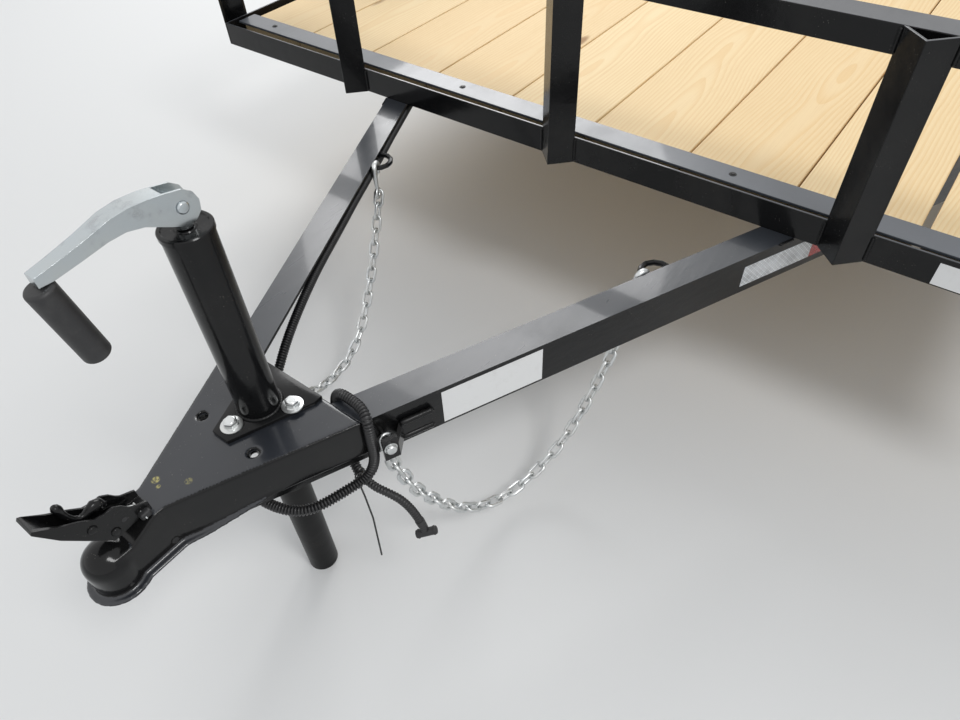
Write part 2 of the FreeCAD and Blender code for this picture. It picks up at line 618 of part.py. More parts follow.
# side views of the latch, forward from the front rail and height above the beam tops
LEVER = [(1034, 121), (1042, 95), (1026, 61), (1006, 30), (986, 2), (950, 5.2), (935, 5.2), (935, 20), (951, 28), (955, 33),
         (960, 42), (968, 49), (978, 49), (989, 52), (1002, 65), (1023, 101)]
LEVER_INSIDE = [(1036.5, 98), (1021.5, 64), (1003.5, 31), (984, 5.5), (965, 9), (930, 9), (930, 60), (1025, 150), (1029, 121)]
FINGER = [(1011, 96), (1006, 91), (1006, 76), (1002, 58), (992, 53), (979, 61), (971, 52), (973, 43), (981, 45), (992, 40),
          (1005, 46), (1013, 67), (1015, 85)]


def latch():
    """The lever over the ball socket: a channel with a finger trigger between its side plates."""
    def outline(points):
        return [(str(-forward), str(z)) for forward, z in points]

    lever = prism("lever", "YZ_Plane", outline(LEVER), "latch_width", ("-latch_width / 2", FRONT, BASE))
    slot = prism("lever_slot", "YZ_Plane", outline(LEVER_INSIDE), "latch_width - 2 * latch_wall",
                 ("latch_wall - latch_width / 2", FRONT, BASE))
    finger = prism("lever_finger", "YZ_Plane", outline(FINGER), "8", ("-4", FRONT, BASE))
    pins = []
    for i, (forward, z) in enumerate(((997, 42), (980, 14))):
        pins.append(hexagon("lever_pin_%d" % i, "3.8", "latch_width + 5",
                        ("-latch_width / 2 - 2.5", "%s - %d" % (FRONT, forward), "frame_height + %d" % z), "x"))
    node(fuse("latch_lever", [cut("lever_channel", lever, slot), finger] + pins), "coupler_latch")


def jack():
    """Outer tube with a triangular flange on the coupler plate, a ram inside it and a crank on top."""
    x, y = "0", "%s - jack_reach" % FRONT
    deck = "frame_height + coupler_wall"
    tube = rod("jack_outer", "jack_radius", "jack_rise + jack_drop", (x, y, "frame_height - jack_drop"))
    bore = rod("jack_bore", "jack_radius - jack_wall", "jack_rise + jack_drop - 8", (x, y, "frame_height - jack_drop"))
    corners = [("15", "-67"), ("60", "44"), ("60", "58"), ("-60", "58"), ("-60", "44"), ("-15", "-67")]
    plate = prism("jack_plate", "XY_Plane", corners, "flange_thick", (x, y, deck))
    bolts = []
    for i, turn in enumerate((-90, 30, 150)):
        at = (" flange_pcd / 2 * cos(%d)" % turn, "%s + flange_pcd / 2 * sin(%d)" % (y, turn))
        bolts.append(hexagon("jack_bolt_%d" % i, "flange_bolt_radius * 1.75", "9", (at[0], at[1], deck + " + flange_thick")))
    cap = rod("jack_cap", "jack_radius + 1.5", "7", (x, y, "frame_height + jack_rise - 7"))
    whole = cut("jack_tube_bored", fuse("jack_tube_solid", [tube, plate, cap] + bolts), bore)
    node(whole, "jack_tube")
    # ram
    radius = "(jack_radius - jack_wall - jack_play)"
    length = "frame_height - jack_drop + ram_overlap"
    outer = rod("ram_outer", radius, length, (x, y, "0"))
    hollow = rod("ram_hollow", radius + " - ram_wall", length, (x, y, "6"))
    node(cut("ram_tube", outer, hollow), "jack_ram")


# side view of the crank arm, reach ahead of the jack's axis and height above the beam tops: top edge, then bottom edge
CRANK_TOP = [(-20, 326), (-16, 337), (-6, 345), (12, 349.5), (30, 353), (50, 355), (70, 354), (99, 347), (132, 341), (162, 338)]
CRANK_LOW = [(162, 327), (137, 326.5), (108, 330), (80, 334), (61, 334), (43, 329), (18, 314), (2, 305), (-10, 307), (-18, 314)]
# the arm's web starts ahead of the pivot, so that its cheeks stand free there
CRANK_INSIDE = [(-24, 300), (-24, 370), (14, 370), (14, 347), (30, 350.5), (50, 352.5), (70, 351.5), (99, 344.5),
                (132, 338.5), (159, 335.5), (159, 300)]


def crank():
    """A zinc-plated channel arm on the jack's head, with a grip that hangs from its end."""
    at = ("0", "%s - jack_reach" % FRONT)
    points = [(str(-reach), str(rise)) for reach, rise in CRANK_TOP + CRANK_LOW]
    arm = prism("crank_channel", "YZ_Plane", points, "crank_arm_width", ("-crank_arm_width / 2", at[1], BASE))
    inner = [(str(-reach), str(rise)) for reach, rise in CRANK_INSIDE]
    slot = prism("crank_slot", "YZ_Plane", inner, "crank_arm_width - 2 * crank_arm_wall",
                 ("crank_arm_wall - crank_arm_width / 2", at[1], BASE))
    channel = cut("crank_open", arm, slot)
    head = rod("crank_head", "crank_arm_width / 2 - crank_arm_wall - 0.5", "30", (at[0], at[1], "frame_height + jack_rise + 0.5"))
    pin = hexagon("crank_pin", "5.5", "crank_arm_width + 6", ("-crank_arm_width / 2 - 3", at[1], "frame_height + crank_pivot_rise"), "x")
    node(fuse("crank", [channel, head, pin]), "crank_arm")
    grip = rod("grip", "crank_grip_radius", "crank_grip_length", ("0", "0", "0"))
    place(grip, "0", "%s - 137" % at[1], "frame_height + 226", Rot(V(1, 0, 0), 8))
    node(grip, "crank_grip")


def wheel():
    """Tyre, pressed rim and hub of the left wheel, then the right ones."""
    x, r = WHEEL_X, S.tyre_radius
    half, bead = S.tyre_width / 2, S.rim_radius
    centre = V(x, Y0 + S.axle_setback, r)

    def turned(points):
        """Revolve a closed outline of (axial, radial) pairs about the axle."""
        ring = [V(x + a, centre.y, centre.z + b) for a, b in points]
        face = Part.Face(Part.makePolygon(ring + [ring[0]]))
        solid = face.revolve(centre, V(1, 0, 0), 360)
        return solid if solid.Volume > 0 else solid.reversed()

    def both(points):
        """An outline's outboard half and its mirror image, in one run."""
        return points + [(-a, b) for a, b in reversed(points)]

    seat = S.rim_width / 2 - 0.3
    bulge = bead + 0.5 * (r - bead)
    tyre = turned(both([(0.55 * half, bead), (seat, bead), (half, bulge), (0.74 * half, r)])
                  + both([(-0.55 * half, bead), (-0.86 * half, bulge), (-0.66 * half, r - 14)])[1:-1])
    rim_half, wall, well = S.rim_width / 2, S.rim_wall, bead - S.rim_drop
    lip = bead + S.flange_rise
    face, crown = S.disc_rise, S.disc_crown
    flare = rim_half + S.flange_flare
    rim = turned([(-flare, lip), (-rim_half, bead - 0.2), (-0.7 * rim_half, bead - 0.2), (-0.5 * rim_half, well),
                  (0.5 * rim_half, well), (0.7 * rim_half, bead - 0.2), (rim_half, bead - 0.2), (flare, lip),
                  (rim_half + 2, bead - wall), (0.5 * rim_half, well - wall), (14, well - wall), (face, crown), (0, crown - 22),
                  (0, S.disc_bore), (-wall, S.disc_bore), (-wall, crown - 20), (face - wall, crown + 2), (14 - wall, well - wall),
                  (-0.5 * rim_half, well - wall), (-rim_half - 2, bead - wall)])
    for i in range(5):
        window = Part.makeBox(S.rim_width, S.window_wide, S.window_tall,
                              V(x - rim_half, centre.y - S.window_wide / 2, centre.z + S.window_reach))
        window.rotate(centre, V(1, 0, 0), 36 + 72 * i)
        rim = rim.cut(window)
    studs = []
    for i in range(5):
        angle = math.radians(72 * i)
        studs.append(V(x - 3 * wall, centre.y + S.lug_pcd / 2 * math.sin(angle), centre.z + S.lug_pcd / 2 * math.cos(angle)))
        rim = rim.cut(polygon_tube([studs[-1], studs[-1] + V(6 * wall, 0, 0)], S.stud_radius + 0.1))
    back, bore = -wall - 0.3, S.spindle_radius + S.bearing_play
    hub = turned([(back, bore), (-S.hub_depth, bore), (-S.hub_depth, S.hub_barrel), (back - 12, S.hub_barrel),
                  (back - 12, S.hub_flange), (back, S.hub_flange), (back, S.disc_bore - 0.5), (6, S.cap_radius),
                  (S.cap_reach - 6, S.cap_radius - 2), (S.cap_reach, S.cap_radius - 10), (S.cap_reach, 0), (S.cap_reach - 4, 0),
                  (S.cap_reach - 4, bore)])
    for at in studs:
        stud = polygon_tube([at, at + V(9 * wall, 0, 0)], S.stud_radius)
        nut = polygon_tube([at + V(3 * wall + 0.3, 0, 0), at + V(7 * wall, 0, 0)], S.nut_radius)
        hub = hub.fuse([stud, nut])
    for label, shape in (("tyre", tyre), ("rim", rim), ("hub", hub)):
        left = made(label + "_l", shape)
        node(left, label + "_left")
        node(mirrored(label + "_r", left), label + "_right")


def running_gear():
    """Axle tube over two leaf springs, clamped by U-bolts; a bolted eye in front and a shackle behind."""
    y, z = Y0 + S.axle_setback, S.tyre_radius
    inner = WHEEL_X - S.hub_depth - 4
    tube = Part.makeCylinder(S.axle_radius, 2 * inner, V(-inner, y, z), V(1, 0, 0))
    tube = tube.cut(Part.makeCylinder(S.axle_radius - S.axle_wall, 2 * inner - 60, V(30 - inner, y, z), V(1, 0, 0)))
    reach = WHEEL_X + S.cap_reach - 6
    spindle = Part.makeCylinder(S.spindle_radius, 2 * reach, V(-reach, y, z), V(1, 0, 0))
    spindle = spindle.cut(Part.makeBox(2 * (inner - 30), 100, 100, V(30 - inner, y - 50, z - 50)))
    axle = tube.fuse(spindle)
    spring_x = S.bed_width / 2 - S.spring_inset
    top = z - S.axle_radius - 5
    half = S.spring_width / 2
    for side in (-1, 1):
        pad_block = Part.makeBox(2 * half, 60, 24, V(side * spring_x - half, y - 30, top))
        seat = Part.makeCylinder(S.leaf_bend, 4 * half, V(side * spring_x - 2 * half, y, top + S.leaf_bend), V(1, 0, 0))
        bore = Part.makeCylinder(S.axle_radius - 1, 4 * half, V(side * spring_x - 2 * half, y, z), V(1, 0, 0))
        axle = axle.fuse(pad_block.common(seat).cut(bore))
    node(made("axle_tube", axle), "axle_beam")

    centre = V(0, y, top + S.leaf_bend)
    swing = math.asin(S.spring_reach / S.leaf_bend)
    shares = (1.0, 0.82, 0.6, 0.36)

    def arc_point(radius, angle):
        return V(spring_x - half, centre.y + radius * math.sin(angle), centre.z - radius * math.cos(angle))

    spring = None
    for i, share in enumerate(shares):
        r1, r2, a = S.leaf_bend + i * S.leaf_thick, S.leaf_bend + (i + 1) * S.leaf_thick, swing * share
        edges = [Part.Arc(arc_point(r1, -a), arc_point(r1, 0), arc_point(r1, a)).toShape(),
                 Part.LineSegment(arc_point(r1, a), arc_point(r2, a)).toShape(),
                 Part.Arc(arc_point(r2, a), arc_point(r2, 0), arc_point(r2, -a)).toShape(),
                 Part.LineSegment(arc_point(r2, -a), arc_point(r1, -a)).toShape()]
        leaf = Part.Face(Part.Wire(edges)).extrude(V(2 * half, 0, 0))
        spring = leaf if spring is None else spring.fuse(leaf)
    eyes = [arc_point(S.leaf_bend + S.leaf_thick - S.eye_radius, sign * swing) for sign in (-1, 1)]
    for eye in eyes:
        spring = spring.fuse(Part.makeCylinder(S.eye_radius, 2 * half, eye, V(1, 0, 0)))
    for eye in eyes:
        spring = spring.cut(Part.makeCylinder(S.eye_bolt_radius + 0.1, 2 * half, eye, V(1, 0, 0)))
    left = made("spring_l", spring.removeSplitter())
    node(left, "leaf_spring_left")
    node(mirrored("spring_r", left), "leaf_spring_right")

    front, rear = eyes
    ear, bolt_end = 5.0, 8.0
    out = half + 1

    def cheeks(outline):
        """Two plates beside a spring eye, from corners as distances behind and above a point."""
        found = []
        for base in (spring_x + out, spring_x - out - ear):
            ring = [V(base, p.y, p.z) for p in outline]
            found.append(Part.Face(Part.makePolygon(ring + ring[:1])).extrude(V(ear, 0, 0)))
        return found

    def eye_bolt(p):
        """A bolt through both cheeks with a hexagon at each end."""
        grip = out + ear
        shank = polygon_tube([V(spring_x - grip, p.y, p.z), V(spring_x + grip, p.y, p.z)], S.eye_bolt_radius)
        ends = [polygon_tube([V(spring_x + s * grip, p.y, p.z), V(spring_x + s * (grip + bolt_end), p.y, p.z)], 11) for s in (-1, 1)]
        return [shank] + ends

    tab = [V(0, front.y - 22, Z0), V(0, front.y - 22, front.z - 4), V(0, front.y - 9, front.z - 20), V(0, front.y + 9, front.z - 20),
           V(0, front.y + 22, front.z - 4), V(0, front.y + 22, Z0)]
    bridge = Part.makeBox(2 * (out + ear), 44, ear, V(spring_x - out - ear, front.y - 22, Z0 - ear))
    hanger = bridge.fuse(cheeks(tab) + eye_bolt(front))
    pin = V(spring_x, rear.y + S.shackle_lean, rear.z + S.shackle_rise)
    block = Part.makeBox(2 * half, 36, Z0 - pin.z + 14, V(spring_x - half, pin.y - 18, pin.z - 14))
    up = V(0, pin.y - rear.y, pin.z - rear.z).normalize()
    side = V(0, up.z, -up.y)
    link = [rear - up * 13 + side * 6, rear + side * 13, pin + side * 13, pin + up * 13 + side * 6, pin + up * 13 - side * 6,
            pin - side * 13, rear - side * 13, rear - up * 13 - side * 6]
    shackle = block.fuse(cheeks(link) + eye_bolt(rear) + eye_bolt(pin))
    left = made("hangers_l", Part.Compound([hanger.removeSplitter(), shackle.removeSplitter()]))
    right = mirrored("hangers_r", left)
    node(group("hangers", [left, right]), "spring_hangers")

    low = top - len(shares) * S.leaf_thick
    bolt_r, steps = 6.0, 6
    # the bow's flats stay clear of the axle tube
    arm = (S.axle_radius + bolt_r + 0.1) / math.cos(math.pi / 2 / steps)
    plate_edge, plate = 15.0, 8.0
    wide = 2 * (half + 2 * bolt_r + 10)
    clamp = Part.makeBox(wide, 2 * (arm + plate_edge), plate, V(spring_x - wide / 2, y - arm - plate_edge, low - plate))
    for sign in (-1, 1):
        at = spring_x + sign * (half + bolt_r + 1)
        bow = arc(V(at, y, z), arm, 0, 180, steps, V(0, -1, 0), V(0, 0, 1))
        path = [V(at, y - arm, low - 3 * plate)] + bow + [V(at, y + arm, low - 3 * plate)]
        clamp = clamp.fuse(polygon_tube(path, bolt_r))
    left = made("clamp_l", clamp)
    node(group("clamps", [left, mirrored("clamp_r", left)]), "axle_clamps")


def fenders():
    """Flat-topped fenders with a lip along the outer edge, welded to the side rail and the top rail."""
    y = "%s + axle_setback" % FRONT
    foot, knee, crown = "fender_foot", "(fender_crown - 70)", "fender_crown"
    outer = [("-fender_half", foot), ("-fender_flat - 70", knee), ("-fender_flat", crown), ("fender_flat", crown),
             ("fender_flat + 70", knee), ("fender_half", foot)]

    def inside(depth):
        d = "(%s)" % depth
        return [("fender_half - %s" % d, foot), ("fender_flat + 70 - %s" % d, "%s - %s / 2" % (knee, d)),
                ("fender_flat - %s / 2" % d, "%s - %s" % (crown, d)), ("-fender_flat + %s / 2" % d, "%s - %s" % (crown, d)),
                ("-fender_flat - 70 + %s" % d, "%s - %s / 2" % (knee, d)), ("-fender_half + %s" % d, foot)]

    top = prism("fender_top", "YZ_Plane", outer + inside("fender_wall"), "fender_width", (HALF, y, "0"))
    lip = prism("fender_lip", "YZ_Plane", outer + inside("fender_skirt"), "fender_wall",
                (HALF + " + fender_width - fender_wall", y, "0"))
    left = fuse("fender_l", [top, lip])
    node(left, "fender_left")
    node(mirrored("fender_r", left), "fender_right")


def gate():
    """A tube-framed ramp gate with angle rungs, hinged on pins below its bottom tube."""
    mid = "%s + gate_gap + gate_tube / 2" % REAR
    front = "%s + gate_gap" % REAR
    pin_z = "(frame_height + gate_pin_rise)"
    bottom = "%s + gate_foot_gap" % pin_z
    tube, wall = "gate_tube", "gate_wall"

    def tube_between(name, size, corner, along):
        outer = box(name + "_outer", size, corner)
        grow = [" - 2 * " + wall if axis != along else "" for axis in "xyz"]
        shift = [" + " + wall if axis != along else "" for axis in "xyz"]
        bore = box(name + "_bore", [a + b for a, b in zip(size, grow)], [a + b for a, b in zip(corner, shift)])
        return cut(name, outer, bore)

    stiles = []
    inner_stile = GATE_HALF + " / 3"
    for i, x in enumerate(("-" + GATE_HALF, "-%s - gate_tube / 2" % inner_stile, "%s - gate_tube / 2" % inner_stile,
                           "%s - gate_tube" % GATE_HALF)):
        edge = i in (0, 3)
        low = bottom if edge else bottom + " + gate_tube"
        height = "gate_height" if edge else "gate_height - 2 * gate_tube"
        stiles.append(tube_between("stile_%d" % i, [tube, tube, height], [x, front, low], "z"))
    node(group("stiles", stiles), "gate_stiles")
    rails = []
    inner = "2 * %s - 2 * gate_tube" % GATE_HALF
    for name, z in (("sill_tube", bottom), ("head_tube", "%s + gate_height - gate_tube" % bottom)):
        rails.append(tube_between(name, [inner, tube, tube], ["gate_tube - " + GATE_HALF, front, z], "x"))
    lugs = []
    for x in (-1, 1):
        cx = "%d * %s * 0.8" % (x, GATE_HALF)
        ear = box("gate_ear_%d" % (x + 1), ("8", "gate_pin_back + 10", "gate_foot_gap + gate_tube"),
                  (cx + " - 4", mid, pin_z))
        barrel = rod("gate_barrel_%d" % (x + 1), "gate_pin_radius + 5", "40", (cx + " - 20", "%s + gate_pin_back" % mid, pin_z), "x")
        hole = rod("gate_hole_%d" % (x + 1), "gate_pin_radius + 0.1", "60", (cx + " - 30", "%s + gate_pin_back" % mid, pin_z), "x")
        lugs.append(cut("gate_lug_%d" % (x + 1), fuse("gate_lug_solid_%d" % (x + 1), [ear, barrel]), hole))
    node(fuse("sill_and_lugs", rails[:1] + lugs), "gate_sill")
    node(rails[1], "gate_head")
    rungs = []
    count = int((S.gate_height - 2 * S.gate_tube - S.rung_leg) // S.rung_pitch)
    third = GATE_HALF + " * 2 / 3"
    bays = [("gate_tube - " + GATE_HALF, third + " - gate_tube * 1.5"),
            ("gate_tube / 2 - " + inner_stile, third + " - gate_tube"),
            ("%s + gate_tube / 2" % inner_stile, third + " - gate_tube * 1.5")]
    y = "%s + (gate_tube - rung_leg) / 2" % front
    for i in range(count):
        z = "%s + gate_tube + %d * rung_pitch" % (bottom, i + 1)
        for j, (x, width) in enumerate(bays):
            level = box("rung_level_%d_%d" % (i, j), (width, "rung_leg", "rung_wall"), (x, y, z))
            upright = box("rung_upright_%d_%d" % (i, j), (width, "rung_wall", "rung_leg"), (x, y, z))
            rungs.append(fuse("rung_%d_%d" % (i, j), [level, upright]))
    node(group("rungs", rungs), "gate_rungs")
    # frame side of the hinge: two ears and a pin at each lug
    pieces = []
    for x in (-1, 1):
        cx = "%d * %s * 0.8" % (x, GATE_HALF)
        parts = []
        for s in (-1, 1):
            parts.append(box("hinge_ear_%d_%d" % (x + 1, s + 1), ("6", LUG_BACK, "gate_pin_rise + 12"),
                             (cx + " + %d - 3" % (s * 26), REAR, BASE)))
        parts.append(rod("hinge_pin_%d" % (x + 1), "gate_pin_radius", "58", (cx + " - 29", "%s + gate_pin_back" % mid, pin_z), "x"))
        pieces.append(fuse("hinge_%d" % (x + 1), parts))
    node(group("hinges", pieces), "gate_hinges")


def lamps():
    """Tail lamps on brackets outside the side rails, and amber and red side markers."""
    y = "%s - 116" % REAR
    bracket = box("lamp_bracket", ("112", "6", "100"), (HALF, y, "frame_height - 42"))
    lens = box("lamp_lens", ("100", "30", "80"), (HALF + " + 8", y + " + 6", "frame_height - 34"))
    left_b, left = bracket, lens
    node(group("lamp_brackets", [left_b, mirrored("lamp_bracket_r", left_b)]), "lamp_brackets")
    node(group("tail_lamp_set", [left, mirrored("tail_lamp_r", left)]), "tail_lamps")


# a four-sided wire is drawn this much thicker than a round one
LINK_BULK = 1.12


def chain_link():
    """One link with an eight-cornered path and a four-sided wire, lying along X in the XY plane."""
    r = (S.link_width - S.link_wire) / 2
    run = (S.link_pitch + S.link_wire) / 2 - r * math.cos(math.radians(30))
    ends = arc(V(run, 0, 0), r, -90, 90, 3, V(1, 0, 0), V(0, 1, 0)) + arc(V(-run, 0, 0), r, 90, 270, 3, V(1, 0, 0), V(0, 1, 0))
    return polygon_tube(ends, S.link_wire / 2 * LINK_BULK, 4, closed=True)


def walk(points, step, start):
    """Points and directions at equal steps along a polyline."""
    found = []
    travelled, wanted = 0.0, start
    for a, b in zip(points, points[1:]):
        length = (b - a).Length
        while wanted <= travelled + length:
            found.append((a + (b - a) * ((wanted - travelled) / length), (b - a).normalize()))
            wanted += step
        travelled += length
    return found


def through(points, count):
    """A smooth run of points through a Catmull-Rom spline's knots."""
    out = []
    padded = [points[0] * 2 - points[1]] + points + [points[-1] * 2 - points[-2]]
    for p0, p1, p2, p3 in zip(padded, padded[1:], padded[2:], padded[3:]):
        for i in range(count):
            t = i / count
            out.append((p1 * 2 + (p2 - p0) * t + (p0 * 2 - p1 * 5 + p2 * 4 - p3) * t * t
                        + (p1 * 3 - p0 - p2 * 3 + p3) * t * t * t) * 0.5)
    return out + [points[-1]]


# distance from the chain bolt towards the hook's eye, of which there are CHAIN_SPAN, and height from the beam tops
CHAIN_NEAR = [(0, -43), (1, -72), (6, -104), (16, -140), (30, -187), (60, -250), (102, -316), (152, -360), (208, -377),
              (265, -366), (319, -335), (362, -288), (398, -228), (427, -172), (452, -116), (458, -91)]
CHAIN_FAR = [(0, -43), (2, -72), (8, -104), (22, -145), (46, -200), (96, -256), (162, -297), (236, -314), (296, -300),
             (345, -258), (385, -210), (417, -158), (444, -112), (458, -91)]
CHAIN_SPAN = 467.0
HOOK_INWARD = 57.0
HOOK_BAR = 4.0
EYE_RADIUS = 9.0
EYE_BAR = 3.4


def hook():
    """A forged hook that hangs on a chain ring's forward leg, with an eye for the last link."""
    bar = S.ring_reach + S.ring_bend
    grip = S.ring_wire + HOOK_BAR + 1.4
    z = -S.ring_drop - 0.5

    def at(forward, rise):
        return on_beam(bar + forward, HOOK_INWARD, z + rise)

    bow = arc(at(0, 0), grip, 180, 0, 5, -ALONG, V(0, 0, 1))
    bar_shape = polygon_tube([at(-grip, -16)] + bow + [at(grip, -38)], HOOK_BAR)
    eye_at = at(grip, -49)
    eye = polygon_tube(arc(eye_at, EYE_RADIUS, 0, 315, 7, ALONG, V(0, 0, 1)), EYE_BAR, 6, closed=True)
    return bar_shape.fuse(eye), eye_at


def chains():
    """Safety chains that hang from a bolt on each beam back to a hook in the ring behind it."""
    link = chain_link()
    hook_shape, eye = hook()
    bolt = on_beam(S.lug_bolt_reach, -S.lug_stand_off / 2, -S.lug_bolt_drop)
    for label, side, route in (("chain_left", 1, CHAIN_NEAR), ("chain_right", -1, CHAIN_FAR)):
        run = V(eye.x - bolt.x, eye.y - bolt.y, 0)
        span = run.Length
        run.normalize()
        lateral = V(-run.y, run.x, 0)
        inner_half = (S.link_pitch + S.link_wire - LINK_BULK * S.link_wire) / 2
        hang = inner_half - S.lug_bolt_radius - 0.3
        knots = [V(bolt.x, bolt.y, Z0) + run * (s * span / CHAIN_SPAN) + V(0, 0, z) for s, z in route]
        knots[0] = bolt - V(0, 0, hang)
        knots[-1] = eye - V(0, 0, EYE_RADIUS + EYE_BAR + 0.3 - inner_half + 2 * S.link_wire)
        points = through(knots, 8)
        length = sum((b - a).Length for a, b in zip(points, points[1:]))
        # the first link lies in the chain's plane and the last one across it, so their number is even
        count = 2 * math.ceil((length / (S.link_pitch - 0.5) + 1) / 2)
        print(label, "links", count, "step", round(length / (count - 1), 2), "length", round(length))
        solids = []
        for i, (at, ahead) in enumerate(walk(points, length / (count - 1) * 0.99999, 0)):
            frame = Rot(ahead, lateral, ahead.cross(lateral), "XYZ")
            copy = link.copy()
            copy.Placement = FreeCAD.Placement(at, frame.multiply(Rot(V(1, 0, 0), 90 if i % 2 == 0 else 0)))
            solids.append(copy)
        shape = Part.Compound(solids + [hook_shape])
        if side < 0:
            shape = shape.mirror(V(0, 0, 0), V(1, 0, 0))
        node(made(label + "_links", shape), label)


def lugs():
    """The strap and bolt on each beam's outer face that hold a chain's front end."""
    near, wall, mid = -S.lug_stand_off, -S.lug_wall, S.lug_bolt_reach
    strap = [(mid - 78, 0), (mid - 78, wall), (mid - 29, wall), (mid - 12, near + wall), (mid + 10, near + wall),
             (mid + 10, near), (mid - 9, near), (mid - 26, 0)]
    free = [(mid - 12, near), (mid - 12, near + wall), (mid + 10, near + wall), (mid + 10, near)]
    pieces = []
    for outline, tall in ((strap, S.lug_tall), (free, S.lug_tall + S.pad_rise)):
        flat = [on_beam(forward, inward, -S.lug_top - S.lug_tall) for forward, inward in outline]
        piece = Part.Face(Part.makePolygon(flat + flat[:1])).extrude(V(0, 0, tall))
        pieces.append(piece if piece.Volume > 0 else piece.reversed())
    foot = on_beam(mid, 0, -S.lug_bolt_drop)
    face = S.lug_stand_off + S.lug_wall
    bolt = polygon_tube([foot, foot + OUTWARD * face], S.lug_bolt_radius)
    head = polygon_tube([foot + OUTWARD * face, foot + OUTWARD * (face + 5)], 2 * S.lug_bolt_radius)
    shape = pieces[0].fuse([pieces[1], bolt, head])
    left = made("lug_l", shape)
    node(group("lug_set", [left, mirrored("lug_r", left)]), "chain_lugs")


def eased(points):
    """The route with its corners cut as a spline with these poles runs, and few points where it is straight."""
    dense = [points[0]] + [a + (b - a) * t for a, b in zip(points, points[1:]) for t in (0.25, 0.75)] + [points[-1]]
    kept = [dense[0]]
    for here, after in zip(dense[1:], dense[2:]):
        if (here - kept[-1]).getAngle(after - here) > math.radians(4):
            kept.append(here)
    kept.append(dense[-1])
    print("route of", len(kept), "points, length", round(sum((b - a).Length for a, b in zip(kept, kept[1:]))))
    return kept


# x, y behind the front rail's face, z above the beam tops: along the right beam under its level leg, in front
# of the jack under the coupler, once round the left beam behind the coupler, and back to the splice
LOOM = [(-435, 73, -24), (-410, 18, -24), (-385, -36, -24), (-360, -91, -24), (-334, -145, -24), (-309, -200, -24),
        (-284, -254, -24), (-259, -309, -24), (-233, -363, -24), (-207, -418, -24), (-180, -476, -24), (-150, -534, -25),
        (-124, -588, -33), (-102, -632, -44), (-83, -668, -58), (-66, -704, -76), (-54, -746, -90), (-38, -785, -95),
        (-6, -812, -96), (36, -826, -95), (75, -820, -94), (103, -806, -94), (118, -784, -94), (128, -752, -94),
        (136, -724, -94), (143, -706, -84), (144, -696, -60), (144, -696, -24), (143, -694, 10), (127, -684, 17),
        (104, -680, 16), (76, -680, 15), (65, -681, -10), (66, -683, -46), (76, -692, -82), (97, -702, -96),
        (119, -711, -103)]
PIGTAIL = [(121, -712, -103.5), (146, -714, -108), (168, -709, -111), (184, -702, -122), (195, -697, -140), (204, -694, -162),
           (212, -693, -184)]


def wiring():
    """The loom that the frame carries, and its free end with a capped plug."""
    def at(rows):
        return [V(x, Y0 + y, Z0 + z) for x, y, z in rows]

    node(made("loom", polygon_tube(eased(at(LOOM)), S.loom_radius)), "wiring_loom")
    tail = eased(at(PIGTAIL))
    node(made("pigtail", polygon_tube(tail, S.pigtail_radius)), "pigtail_cord")
    end, ahead = tail[-1], (tail[-1] - tail[-2]).normalize()
    stem = polygon_tube([end, end + ahead * 8], S.pigtail_radius + 2, 8)
    # the plug lies across the cord
    across = ahead.cross(V(0, 1, 0)).normalize()
    middle = end + ahead * 12
    plug = stem.fuse(polygon_tube([middle - across * 15, middle + across * 15], 6.5, 8))
    node(made("plug", plug), "trailer_plug")


def finish():
    """Recompute, check every object and shape, and write one file for each sub-part."""
    doc.recompute()
    faults = ["%s %s" % (o.Name, o.State) for o in doc.Objects if "Invalid" in o.State or "Error" in o.State]
    for obj in NODES:
        shape = obj.Shape
        if shape.isNull() or not shape.isValid() or not shape.Solids:
            faults.append("%s has no valid solid" % obj.Label)
    if faults:
        raise RuntimeError("; ".join(faults))
    os.makedirs("parts", exist_ok=True)
    for obj in NODES:
        obj.Shape.exportStep(os.path.join("parts", obj.Label + ".step"))
    bounds = Part.Compound([obj.Shape for obj in NODES]).BoundBox
    print(len(NODES), "sub-parts", bounds)


crossmembers = bed_frame()
tongue(crossmembers)
deck()
sides()
coupler()
latch()
jack()
crank()
wheel()
running_gear()
fenders()
gate()
lamps()
chains()
lugs()
wiring()
finish()
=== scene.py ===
"""The looks of a single-axle utility trailer with a timber deck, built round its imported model.

Metres.  +Z up, -Y forward along the tongue, +X to the trailer's left.
"""
import logging
import math
from dataclasses import dataclass
from enum import Enum
from typing import Iterable, NamedTuple, Optional, Sequence, Union

import bmesh
import bpy
import numpy as np
from mathutils import Matrix, Vector


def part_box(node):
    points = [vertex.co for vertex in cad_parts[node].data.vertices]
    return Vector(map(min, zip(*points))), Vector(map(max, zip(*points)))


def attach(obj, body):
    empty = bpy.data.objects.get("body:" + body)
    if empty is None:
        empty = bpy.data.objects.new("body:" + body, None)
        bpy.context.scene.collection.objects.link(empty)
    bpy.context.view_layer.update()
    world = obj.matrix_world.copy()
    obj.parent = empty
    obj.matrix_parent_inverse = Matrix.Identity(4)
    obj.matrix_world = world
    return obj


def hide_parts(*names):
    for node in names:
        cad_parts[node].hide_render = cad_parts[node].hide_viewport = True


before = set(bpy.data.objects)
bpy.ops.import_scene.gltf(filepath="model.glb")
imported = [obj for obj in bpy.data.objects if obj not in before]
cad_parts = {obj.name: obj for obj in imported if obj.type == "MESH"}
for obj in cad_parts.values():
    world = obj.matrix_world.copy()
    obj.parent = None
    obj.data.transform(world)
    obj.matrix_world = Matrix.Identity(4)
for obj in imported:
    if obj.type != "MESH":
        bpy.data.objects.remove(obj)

LOG = logging.getLogger("trailer")
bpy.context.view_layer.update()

RAIL_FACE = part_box("front_rail")[0].y
FRAME_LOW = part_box("side_rail_left")[0].z
JACK_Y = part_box("jack_ram")[0].lerp(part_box("jack_ram")[1], 0.5).y
